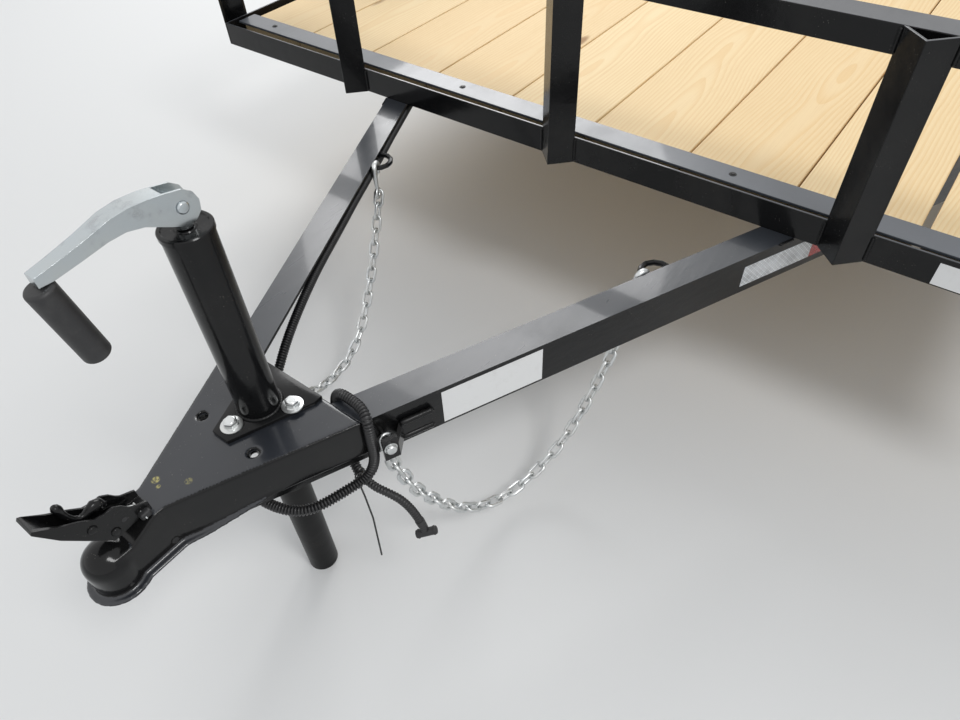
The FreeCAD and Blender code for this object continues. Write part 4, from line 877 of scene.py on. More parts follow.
@dataclass
class Studio:
    """The camera at the photograph's place, a pale floor and soft light."""

    eye: Vector = Vector((0.615742, -2.375370, 1.145096))
    yaw: float = 0.6821052
    pitch: float = 0.8200138
    roll: float = -0.0551369
    focal_pixels: float = 701.388
    frame_pixels: float = 960.0
    sensor: float = 36.0
    fade: tuple = (4.5, 15.0)
    sky_colour: Colour = (0.93, 0.96, 1.0)
    sky_strength: float = 0.62
    floor_colour: Colour = (0.74, 0.74, 0.73)
    floor_half: float = 40.0
    lamps: tuple = (("sky", (-2.6, 1.8, 3.6), 3.4, 150.0), ("key", (2.6, -2.2, 3.9), 1.2, 60.0))
    aim: tuple = (0.0, -1.4, 0.4)

    def build(self) -> None:
        """Make the camera, lights, world and floor."""
        self.camera()
        self.world()
        self.lights()
        self.floor()

    def camera(self) -> None:
        """Place the camera by its yaw, pitch and roll."""
        level = Vector((-math.sin(self.yaw), math.cos(self.yaw), 0))
        right = Vector((math.cos(self.yaw), math.sin(self.yaw), 0))
        ahead = level * math.cos(self.pitch) - UP * math.sin(self.pitch)
        head = level * math.sin(self.pitch) + UP * math.cos(self.pitch)
        side = right * math.cos(self.roll) + head * math.sin(self.roll)
        head = head * math.cos(self.roll) - right * math.sin(self.roll)
        data = bpy.data.cameras.new("camera")
        data.sensor_width = self.sensor
        data.lens = self.focal_pixels / self.frame_pixels * self.sensor
        data.clip_start = 0.02
        camera = bpy.data.objects.new("camera", data)
        matrix = Matrix((side, head, -ahead)).transposed().to_4x4()
        camera.matrix_world = Matrix.Translation(self.eye) @ matrix
        bpy.context.scene.collection.objects.link(camera)
        bpy.context.scene.camera = camera

    def world(self) -> None:
        """White behind and in reflections, softer as light."""
        world = bpy.data.worlds.new("studio")
        world.use_nodes = True
        bpy.context.scene.world = world
        nodes, links = world.node_tree.nodes, world.node_tree.links
        light = nodes["Background"]
        light.inputs["Color"].default_value = (*self.sky_colour, 1.0)
        light.inputs["Strength"].default_value = self.sky_strength
        back = nodes.new("ShaderNodeBackground")
        back.inputs["Color"].default_value = (1.0, 1.0, 1.0, 1.0)
        path = nodes.new("ShaderNodeLightPath")
        seen = nodes.new("ShaderNodeMath")
        seen.operation = "ADD"
        seen.use_clamp = True
        links.new(path.outputs["Is Camera Ray"], seen.inputs[0])
        also = nodes.new("ShaderNodeMath")
        also.operation = "ADD"
        links.new(path.outputs["Is Glossy Ray"], also.inputs[0])
        links.new(path.outputs["Is Transmission Ray"], also.inputs[1])
        links.new(also.outputs[0], seen.inputs[1])
        choice = nodes.new("ShaderNodeMixShader")
        links.new(seen.outputs[0], choice.inputs[0])
        links.new(light.outputs[0], choice.inputs[1])
        links.new(back.outputs[0], choice.inputs[2])
        links.new(choice.outputs[0], nodes["World Output"].inputs["Surface"])

    def lights(self) -> None:
        """A large soft sky light behind the trailer and a smaller key beside it."""
        for name, place, size, power in self.lamps:
            data = bpy.data.lights.new(name, "AREA")
            data.shape = "DISK"
            data.size = size
            data.energy = power
            lamp = bpy.data.objects.new(name, data)
            lamp.matrix_world = turned_to(Vector(place) - Vector(self.aim), Vector(place))
            bpy.context.scene.collection.objects.link(lamp)

    def floor(self) -> None:
        """A plain pale floor that fades into the white behind it."""
        tree = Tree("pale_floor", Roughness=0.85, Base_Color=self.floor_colour, Specular_IOR_Level=0.2)
        x, y, _ = tree.split(tree.place())
        far = (x * x + y * y).one("SQRT").ramp(*self.fade)
        seen = tree.add("LightPath", output="Is Camera Ray")
        seen = seen + seen.sibling("Is Glossy Ray") + seen.sibling("Is Transmission Ray")
        white = tree.nodes.new("ShaderNodeEmission")
        choice = tree.nodes.new("ShaderNodeMixShader")
        tree.links.new((far * seen).out, choice.inputs[0])
        tree.links.new(tree.shader.outputs[0], choice.inputs[1])
        tree.links.new(white.outputs[0], choice.inputs[2])
        tree.links.new(choice.outputs[0], tree.output.inputs[0])
        mesh = bpy.data.meshes.new("floor")
        bm = bmesh.new()
        bmesh.ops.create_grid(bm, x_segments=1, y_segments=1, size=self.floor_half)
        bm.to_mesh(mesh)
        bm.free()
        mesh.materials.append(tree.material)
        floor = bpy.data.objects.new("floor", mesh)
        bpy.context.scene.collection.objects.link(floor)


@dataclass
class Wiring:
    """The corrugated loom under the tongue, its free end and plug, and the tie that holds it."""

    loom_radius: float = 0.0079
    loom_groove: float = 0.70
    cord_radius: float = 0.0066
    cord_groove: float = 0.78
    rib_pitch: float = 0.0044
    loom: tuple = ((-435, 73, -24), (-410, 18, -24), (-385, -36, -24), (-360, -91, -24), (-334, -145, -24),
                   (-309, -200, -24), (-284, -254, -24), (-259, -309, -24), (-233, -363, -24),
                   (-207, -418, -24), (-180, -476, -24), (-150, -534, -25), (-124, -588, -33),
                   (-102, -632, -44), (-83, -668, -58), (-66, -704, -76), (-54, -746, -90),
                   (-38, -785, -95), (-6, -812, -96), (36, -826, -95), (75, -820, -94), (103, -806, -94),
                   (118, -784, -94), (128, -752, -94), (136, -724, -94), (143, -706, -84),
                   (144, -696, -60), (144, -696, -24), (143, -694, 10), (127, -684, 17), (104, -680, 16),
                   (76, -680, 15), (65, -681, -10), (66, -683, -46), (76, -692, -82), (97, -702, -96),
                   (119, -711, -103))
    pigtail: tuple = ((121, -712, -103.5), (146, -714, -108), (168, -709, -111), (184, -702, -122),
                      (195, -697, -140), (204, -694, -162), (212, -693, -184))
    plug_ahead: float = 0.012
    crossbar: tuple = (0.78, 0.62, 0.12)
    relief: tuple = (Step(-0.016, 0.0070, 0.024, top=0.0058, chamfer=0.0006),
                     Step(-0.0130, 0.0070, 0.0022, chamfer=0.0006),
                     Step(-0.0088, 0.0068, 0.0022, chamfer=0.0006),
                     Step(-0.0046, 0.0066, 0.0022, chamfer=0.0006),
                     Step(-0.0004, 0.0064, 0.0022, chamfer=0.0006))
    capped: tuple = (Step(-0.0162, 0.0064, 0.0324, 28, chamfer=0.0018),
                     Step(-0.0135, 0.0072, 0.0026, 28, chamfer=0.0008),
                     Step(0.0109, 0.0072, 0.0026, 28, chamfer=0.0008))
    splice: tuple = (0.120, -0.7115, -0.1033)
    tie_radius: float = 0.0086
    tie_strap: float = 0.0013
    tie_head: tuple = (0.0, -0.0062, -0.0072)
    head_half: tuple = (0.0024, 0.0030, 0.0026)
    tie_tail: tuple = ((0, 0, 0), (0.012, -0.004, -0.028), (0.026, -0.010, -0.066), (0.045, -0.026, -0.132))
    tail_radius: float = 0.0014

    def build(self) -> None:
        """Make the free end with its plug, the loom and the tie."""
        line = self.smooth(self.pigtail)
        cord = self.ribbed(line, self.cord_radius, self.cord_groove, "trailer_lead", "pigtail_cord")
        plug = self.plug(line)
        length = sum((b - a).length for a, b in zip(line, line[1:]))
        tuple(line[0])
        [tuple(point) for point in line]
        self.ribbed(self.smooth(self.loom), self.loom_radius, self.loom_groove, "wiring_tubing",
                    "wiring_loom")
        self.tie()

    def smooth(self, route: tuple) -> list[Vector]:
        """A smooth line by the points of a route.

        Args:
            route: the points, in millimetres from the front rail's face and the beams' tops.

        Returns:
            The line's points.
        """
        curve = bpy.data.curves.new("route", "CURVE")
        curve.dimensions = "3D"
        curve.resolution_u = 16
        spline = curve.splines.new("NURBS")
        spline.points.add(len(route) - 1)
        for i, (x, y, z) in enumerate(route):
            spline.points[i].co = (x / 1000, RAIL_FACE + y / 1000, FRAME_LOW + z / 1000, 1.0)
        spline.order_u = 3
        spline.use_endpoint_u = True
        holder = bpy.data.objects.new("route", curve)
        bpy.context.scene.collection.objects.link(holder)
        mesh = bpy.data.meshes.new_from_object(holder)
        points = [v.co.copy() for v in mesh.vertices]
        bpy.data.meshes.remove(mesh)
        bpy.data.objects.remove(holder)
        bpy.data.curves.remove(curve)
        return points

    def ribbed(self, line: Sequence[Vector], radius: float, groove: float, name: str,
               node: str) -> bpy.types.Object:
        """Tubing whose ribs stand at equal steps along a line.

        Args:
            line: its middle line.
            radius: its radius at the ribs.
            groove: the share of that radius between them.
            name: the piece's name.
            node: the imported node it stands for.

        Returns:
            The piece.
        """
        points = spaced(line, self.rib_pitch / 4)
        flank = 0.7 + 0.3 * groove
        bm = bmesh.new()
        radii = [(1.0, flank, groove, flank)[i % 4] for i in range(len(points))]
        add_tube(bm, points, radius, radii, corners=3)
        return put(bm, name, "frame", LOOM_PLASTIC, [node], sharp=85.0)

    def plug(self, line: Sequence[Vector]) -> bpy.types.Object:
        """The capped plug, which lies across its cord, with a ribbed strain relief.

        Args:
            line: the cord's line.

        Returns:
            The plug.
        """
        end, ahead = line[-1], (line[-1] - line[-2]).normalized()
        across = Vector(self.crossbar)
        across = (across - ahead * across.dot(ahead)).normalized()
        bm = bmesh.new()
        turned(bm, end, ahead, *self.relief)
        turned(bm, end + ahead * self.plug_ahead, across, *self.capped)
        return put(bm, "trailer_plug_body", "frame", RUBBER, ["trailer_plug"])

    def tie(self) -> None:
        """The cable tie at the splice, with a long tail."""
        x, y, z = self.splice
        base = Vector((x, RAIL_FACE + y, FRAME_LOW + z))
        bm = bmesh.new()
        add_tube(bm, circle(base, self.tie_radius, 24, BACK, UP), self.tie_strap, corners=1, cyclic=True)
        head, half = base + Vector(self.tie_head), Vector(self.head_half)
        slab(bm, head - half, head + half)
        tail = [head + Vector(point) for point in self.tie_tail]
        add_tube(bm, spaced(tail, 0.006), self.tail_radius, corners=1)
        put(bm, "cable_tie", "frame", LOOM_PLASTIC)


@dataclass
class Deck:
    """Pine boards on the crossmembers and the screwed strips that hold their ends."""

    screws: tuple = (-0.860, -0.2765, 0.313, 0.8995)
    screw: tuple = (Step(-0.0004, 0.0072, 0.0012, 24, 0.0060, 0.0003),
                    Step(0.0006, 0.0048, 0.0018, 20, 0.0032, 0.0004))
    front_row: float = 0.050
    skew: float = math.radians(0.5)

    def build(self) -> None:
        """Make the boards, strips and raised countersunk screws."""
        put(copy_node("deck_planks"), "deck_boards", "frame", Pine(), ["deck_planks"], ease=0.0022,
            segments=3)
        for end in ("front", "rear"):
            # the strips' light blue-grey colour is a painted sky reflection
            node = "plank_strip_" + end
            put(copy_node(node), "hold_down_strip_" + end, "frame", STRIP_SHEEN_STEEL, [node],
                ease=0.0008)
        bm = bmesh.new()
        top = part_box("plank_strip_front")[1].z
        low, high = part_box("plank_strip_rear")
        for x in self.screws:
            for y in (RAIL_FACE + self.front_row - math.tan(self.skew) * x, (low.y + high.y) / 2):
                turned(bm, Vector((x, y, top)), UP, *self.screw)
        put(bm, "deck_screws", "frame", SPRING_STEEL)


@dataclass
class BedFrame:
    """Angle rails, uprights and tube top rails, with the welds between them."""

    rails: tuple = ("side_rail_left", "side_rail_right", "front_rail", "rear_rail", "crossmembers")
    uprights: tuple = ("front_uprights", "side_uprights_left", "side_uprights_right")
    top_rails: tuple = ("top_rail_left", "top_rail_right", "top_rail_front")
    front_posts: tuple = (-0.5395, -0.0085, 0.5225)
    post_half: float = 0.0359
    rail_tall: float = 0.0508
    bead: float = 0.0028
    plate_reach: tuple = (0.655, 0.735)
    plate_rise: tuple = (0.003, 0.042)
    plate_proud: tuple = (0.00005, 0.0008)
    bands_from_front: tuple = (0.10, 1.10)
    band_from_rear: float = 0.55
    band_wide: float = 0.150
    red_from_silver: float = 0.1502
    band_rise: tuple = (0.006, 0.044)
    band_proud: tuple = (0.00005, 0.0005)

    def build(self) -> None:
        """Make the steel, its welds, and what is stuck on it."""
        for node in self.rails + self.uprights:
            put(copy_node(node), node + "_steel", "frame", STEEL, [node], ease=0.0012,
                level=SHEEN_AND_DUST_STEEL)
        for node in self.top_rails:
            put(copy_node(node), node + "_tube", "frame", STEEL, [node], ease=0.0035,
                segments=3, level=SHEEN_AND_DUST_STEEL)
        self.welds()
        self.plate()
        self.side_tape()

    def welds(self) -> None:
        """Beads down the toes of the front uprights, on the rail below and the tube above."""
        bm = bmesh.new()
        low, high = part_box("top_rail_front")
        seams = ((FRAME_LOW + 0.004, FRAME_LOW + self.rail_tall - 0.004), (low.z + 0.002, high.z - 0.003))
        y = RAIL_FACE - 0.0006
        for middle in self.front_posts:
            for toe in (-1, 1):
                x = middle + toe * (self.post_half + 0.0005)
                for bottom, top in seams:
                    weld(bm, Vector((x, y, bottom)), Vector((x, y, top)), self.bead)
        put(bm, "upright_welds", "frame", WELD_STEEL, sharp=80.0)

    def plate(self) -> None:
        """The small blank plate on the front rail."""
        bm = bmesh.new()
        (left, right), (bottom, top), (back, face) = self.plate_reach, self.plate_rise, self.plate_proud
        slab(bm, Vector((left, RAIL_FACE - face, FRAME_LOW + bottom)),
             Vector((right, RAIL_FACE - back, FRAME_LOW + top)))
        put(bm, "blank_plate", "frame", Sticker(), ease=0.0002)

    def side_tape(self) -> None:
        """Short silver and red bands on the outer faces of the side rails."""
        for side in Side:
            low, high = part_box("side_rail_" + side.label)
            starts = [low.y + step for step in self.bands_from_front] + [high.y - self.band_from_rear]
            silver, red = Tape("side_silver_" + side.label), Tape("side_red_" + side.label, RED_TAPE)
            for colour, shift, finish in (("silver", 0.0, silver), ("red", self.red_from_silver, red)):
                bm = bmesh.new()
                for start in starts:
                    near = start + shift
                    on_side_rail(bm, side, (near, near + self.band_wide), self.band_rise, self.band_proud)
                put(bm, "%s_side_tape_%s" % (colour, side.label), "frame", finish)


@dataclass
class Tongue:
    """Angle beams with their chain rings, tape and a blank label."""

    silver_tape: tuple = (-0.056, 0.098)
    red_tape: tuple = (-0.087, -0.0562)
    tape_rise: tuple = (-0.062, -0.020)
    label_reach: tuple = (0.483, 0.647)
    label_rise: tuple = (-0.072, -0.008)
    sunk: float = 0.00005
    proud: float = 0.0004
    strap_weld: tuple = (0.664, 0.714)
    strap_weld_rises: tuple = (-0.0285, -0.0590)
    strap_out: float = 0.0046
    strap_bead: float = 0.0052
    strap_pool: float = 0.0095
    rail_weld: tuple = (0.0, 0.030)
    rail_weld_rise: float = -0.002
    rail_out: float = 0.0006
    rail_bead: float = 0.0030

    def build(self) -> None:
        """Make both beams and what is stuck on them."""
        for side in Side:
            node = "tongue_beam_" + side.label
            put(copy_node(node, flat=0.5), "beam_" + side.label, "frame", BEAM_STEEL[side],
                [node], ease=0.0014, sharp=40.0, level=SHEEN_AND_DUST_STEEL)
            self.tape(side)
        self.label()
        self.welds()

    def strip(self, bm: bmesh.types.BMesh, beam: Beam, reach: tuple, rise: tuple) -> None:
        """Add a thin sheet stuck on a beam's outer face.

        Args:
            bm: the mesh to add to.
            beam: the beam.
            reach: its ends, forward along the beam.
            rise: its edges, up from the beam's top.
        """
        turn = Matrix((beam.along(), beam.outward(), UP)).transposed().to_4x4()
        turn.translation = beam.at(0, 0, 0)
        low, high = Vector((reach[0], self.sunk, rise[0])), Vector((reach[1], self.proud, rise[1]))
        verts = slab(bm, low, high, turn)
        bmesh.ops.recalc_face_normals(bm, faces=list({f for v in verts for f in v.link_faces}))

    def tape(self, side: Side) -> None:
        """Silver tape ahead of the frame, then red under it.

        Args:
            side: which beam.
        """
        turn = side.value * BEAM_ANGLE
        silver = Tape("silver_tape_" + side.label, turn=turn)
        red = Tape("red_tape_" + side.label, RED_TAPE, turn)
        for colour, reach, finish in (("silver", self.silver_tape, silver), ("red", self.red_tape, red)):
            bm = bmesh.new()
            self.strip(bm, BEAMS[side], reach, self.tape_rise)
            put(bm, "%s_tape_%s" % (colour, side.label), "frame", finish)

    def label(self) -> None:
        """The blank white label on the left beam."""
        bm = bmesh.new()
        self.strip(bm, BEAMS[Side.LEFT], self.label_reach, self.label_rise)
        put(bm, "blank_label", "frame", Sticker())

    def welds(self) -> None:
        """Beads where the chain straps and the front rail meet the beams."""
        bm = bmesh.new()
        for side in Side:
            beam = BEAMS[side]
            for rise in self.strap_weld_rises:
                start, end = (beam.at(forward, -self.strap_out, rise) for forward in self.strap_weld)
                weld(bm, start, end, self.strap_bead, self.strap_pool)
            start, end = (beam.at(forward, -self.rail_out, self.rail_weld_rise) for forward in self.rail_weld)
            weld(bm, start, end, self.rail_bead)
        put(bm, "tongue_welds", "frame", WELD_STEEL, sharp=80.0)


@dataclass
class Coupler:
    """The pressed coupler and its latch lever."""

    ball_reach: float = 1.004
    ball_drop: float = 0.034
    cover: float = 0.0301
    cover_margin: float = 0.001
    socket: float = 0.0263
    skirt: float = 0.040
    lip_radius: float = 0.0380
    lip_bar: float = 0.0028
    lip_drop: float = 0.020
    # the least Z of the normal of a lower lip face that takes the painted highlight
    lip_slope: float = 0.35
    voxel: float = 0.0019
    softened: int = 5
    skirt_hole_at: tuple = (0.0251, 0.9368, -0.0588)
    skirt_hole_rim: tuple = (0.0050, 0.0010)
    skirt_hole_shade: Step = Step(-0.0004, 0.0046, 0.0008, 28)
    rivets: tuple = ((0.997, 0.042), (0.980, 0.014))
    rivet_shank: float = 0.0036
    rivet_head: Step = Step(-0.0004, 0.0062, 0.0034, 28, 0.0046, 0.0009)
    lever_half: float = 0.014
    lever_hole_at: tuple = (0.9658, 0.0209)
    lever_hole: Step = Step(-0.0004, 0.0034, 0.0006)
    tip_moves: tuple = (((1.0340, 0.1210), (1.0395, 0.0990)), ((1.0309, 0.1153), (1.0362, 0.0990)),
                        ((1.0230, 0.1010), (1.0190, 0.0790)))
    tip_near: float = 0.0012
    block: tuple = (0.0132, 0.9455)
    block_size: tuple = (0.018, 0.014, 0.010)
    block_sunk: float = 0.001
    wire: tuple = ((0.0021, 0.9466, 0.0200), (0.0240, 0.9475, 0.0075))
    wire_radius: float = 0.0010
    coil_radius: float = 0.0011
    coil: tuple = ((0.0055, 0.981, 0.030), (0.0068, 0.968, 0.022), (0.0068, 0.955, 0.013),
                   (0.0030, 0.946, 0.0095), (-0.0030, 0.946, 0.0095), (-0.0068, 0.955, 0.013),
                   (-0.0068, 0.968, 0.022), (-0.0055, 0.981, 0.030))
    finger_space: float = 0.005
    finger_radius: float = 0.0045
    spoon_start: float = 1.012
    spoon_flare: float = 3.0
    finger: tuple = ((1.0100, 0.0935, 0.70), (1.0095, 0.0905, 1.15), (1.0080, 0.0860, 1.15),
                     (1.0078, 0.0790, 0.95), (1.0068, 0.0700, 0.90), (1.0040, 0.0610, 0.90),
                     (0.9990, 0.0545, 0.95), (0.9925, 0.0530, 1.05), (0.9860, 0.0555, 1.20),
                     (0.9800, 0.0575, 1.45), (0.9745, 0.0550, 1.40), (0.9715, 0.0490, 1.10),
                     (0.9750, 0.0440, 0.80))

    def at(self, x: float, forward: float, rise: float) -> Vector:
        """A point across, forward of the front rail and up from the beams' tops."""
        return Vector((x, RAIL_FACE - forward, FRAME_LOW + rise))

    def build(self) -> None:
        """Make the pressing and the lever."""
        bm = copy_node("coupler_body", flat=0.5)
        bmesh.ops.triangulate(bm, faces=bm.faces)
        self.dome(bm)
        self.rolled_lip(bm)
        skin = self.pressed(bm)
        pressing = put(skin, "coupler_pressing", "frame", COUPLER_STEEL, ["coupler_body"],
                       sharp=60.0, level=COUPLER_SHEEN_AND_DUST)
        ball = self.ball()
        # the dome keeps the plain enamel; on the lower lip, faces sloping upward take the lighter level finish as
        # a painted highlight along the lip
        for face in pressing.data.polygons:
            beyond = (face.center - ball).xy.length > self.cover + self.cover_margin
            if not beyond:
                face.material_index = 0
            elif face.center.z < FRAME_LOW - self.lip_drop:
                face.material_index = 1 if face.normal.z > self.lip_slope else 0
        self.skirt_hole()
        self.lever()
        self.finger_and_rivets()
        self.spring()
        self.stop()

    def ball(self) -> Vector:
        """The centre of the tow ball."""
        return self.at(0, self.ball_reach, -self.ball_drop)

    def dome(self, bm: bmesh.types.BMesh) -> None:
        """Add the smooth cover of the ball, a half globe over an upright skirt, hollow inside.

        Args:
            bm: the mesh to add to.
        """
        ball = self.ball()
        turns = [math.radians(7.5 * i) for i in range(13)]
        outline = [(self.cover * math.sin(t), self.cover * math.cos(t)) for t in turns]
        outline += [(self.cover, -self.skirt), (self.socket, -self.skirt)]
        outline += [(self.socket * math.sin(t), self.socket * math.cos(t)) for t in reversed(turns)]
        cover = bmesh.new()
        verts = [cover.verts.new(ball + Vector((radius, 0, rise))) for radius, rise in outline]
        edges = [cover.edges.new(pair) for pair in zip(verts, verts[1:])]
        bmesh.ops.spin(cover, geom=verts + edges, cent=ball, axis=UP, angle=2 * math.pi, steps=64,
                       use_merge=True)
        bmesh.ops.remove_doubles(cover, verts=cover.verts, dist=1e-6)
        bmesh.ops.recalc_face_normals(cover, faces=cover.faces)
        mesh = bpy.data.meshes.new("cover")
        cover.to_mesh(mesh)
        cover.free()
        bm.from_mesh(mesh)
        bpy.data.meshes.remove(mesh)

    def rolled_lip(self, bm: bmesh.types.BMesh) -> None:
        """Add the rolled edge round the front of the socket.

        Args:
            bm: the mesh to add to.
        """
        ball = self.ball()
        middle = Vector((ball.x, ball.y, ball.z - self.skirt + self.lip_bar))
        add_tube(bm, circle(middle, self.lip_radius, 72, ACROSS, BACK), self.lip_bar, corners=2, cyclic=True)

    def pressed(self, bm: bmesh.types.BMesh) -> bmesh.types.BMesh:
        """One skin over overlapping shells, with the soft corners of a pressing.

        Args:
            bm: the shells, which are used up.

        Returns:
            The skin.
        """
        mesh = bpy.data.meshes.new("shells")
        bm.to_mesh(mesh)
        bm.free()
        holder = bpy.data.objects.new("shells", mesh)
        bpy.context.scene.collection.objects.link(holder)
        skin = holder.modifiers.new("skin", "REMESH")
        skin.mode = "VOXEL"
        skin.voxel_size = self.voxel
        found = bpy.data.meshes.new_from_object(holder.evaluated_get(bpy.context.evaluated_depsgraph_get()))
        bpy.data.objects.remove(holder)
        bpy.data.meshes.remove(mesh)
        out = bmesh.new()
        out.from_mesh(found)
        bpy.data.meshes.remove(found)
        for _ in range(self.softened):
            bmesh.ops.smooth_vert(out, verts=out.verts, factor=0.5, use_axis_x=True, use_axis_y=True,
                                  use_axis_z=True)
        return out

    def lever(self) -> None:
        """The latch lever, spread at its spoon and bent at its tip."""
        bm = copy_node("coupler_latch")
        bmesh.ops.delete(bm, geom=[v for v in bm.verts if abs(v.co.x) < self.finger_space], context="VERTS")
        for vert in bm.verts:
            past = max(0.0, RAIL_FACE - vert.co.y - self.spoon_start)
            vert.co.x *= 1.0 + past * self.spoon_flare
            forward, rise = RAIL_FACE - vert.co.y, vert.co.z - FRAME_LOW
            for old, new in self.tip_moves:
                if math.hypot(forward - old[0], rise - old[1]) < self.tip_near:
                    vert.co.y, vert.co.z = RAIL_FACE - new[0], FRAME_LOW + new[1]
        put(bm, "latch_lever", "frame", LATCH_STEEL, ["coupler_latch"], ease=0.0012,
            segments=3)

    def finger_and_rivets(self) -> None:
        """The bent finger between the lever's sides, and the rivets through them."""
        bm = bmesh.new()
        points = [self.at(0, forward, rise) for forward, rise, _ in self.finger]
        add_tube(bm, points, self.finger_radius, [part for _, _, part in self.finger], corners=3)
        for place in self.rivets:
            drum(bm, self.at(-self.lever_half, *place), ACROSS, self.rivet_shank, 2 * self.lever_half, 20)
        put(bm, "latch_finger", "frame", LATCH_STEEL, sharp=60.0)
        bm = bmesh.new()
        for place in self.rivets:
            for side in (-1, 1):
                turned(bm, self.at(side * self.lever_half, *place), ACROSS * side, self.rivet_head)
        put(bm, "latch_rivets", "frame", LATCH_STEEL)

    def spring(self) -> None:
        """The wire spring between the lever's sides, and its free end."""
        bm = bmesh.new()
        for points, radius in ((self.coil, self.coil_radius), (self.wire, self.wire_radius)):
            add_tube(bm, spaced([self.at(*point) for point in points], WIRE_STEP), radius, corners=2)
        put(bm, "latch_spring", "frame", PLATE)

    def skirt_hole(self) -> None:
        """The rimmed hole through the left flank, for a locking pin."""
        at = self.at(*self.skirt_hole_at)
        radius, bar = self.skirt_hole_rim
        bm = bmesh.new()
        add_tube(bm, circle(at, radius, 28, BACK, UP), bar, corners=2, cyclic=True)
        put(bm, "skirt_hole_rim", "frame", COUPLER_STEEL, sharp=80.0)
        bm = bmesh.new()
        turned(bm, at, ACROSS, self.skirt_hole_shade)
        put(bm, "skirt_hole_shade", "frame", RUBBER)

    def stop(self) -> None:
        """The rounded block behind the lever, and the hole in the lever's left side."""
        bm = bmesh.new()
        wide, deep, tall = self.block_size
        x, forward = self.block
        low = Vector((x - wide / 2, RAIL_FACE - forward - deep / 2, COUPLER_TOP - self.block_sunk))
        slab(bm, low, low + Vector((wide, deep, tall)))
        put(bm, "latch_stop", "frame", RUBBER, ease=0.003, segments=3)
        bm = bmesh.new()
        turned(bm, self.at(self.lever_half, *self.lever_hole_at), ACROSS, self.lever_hole)
        put(bm, "latch_hole_shade", "frame", RUBBER)


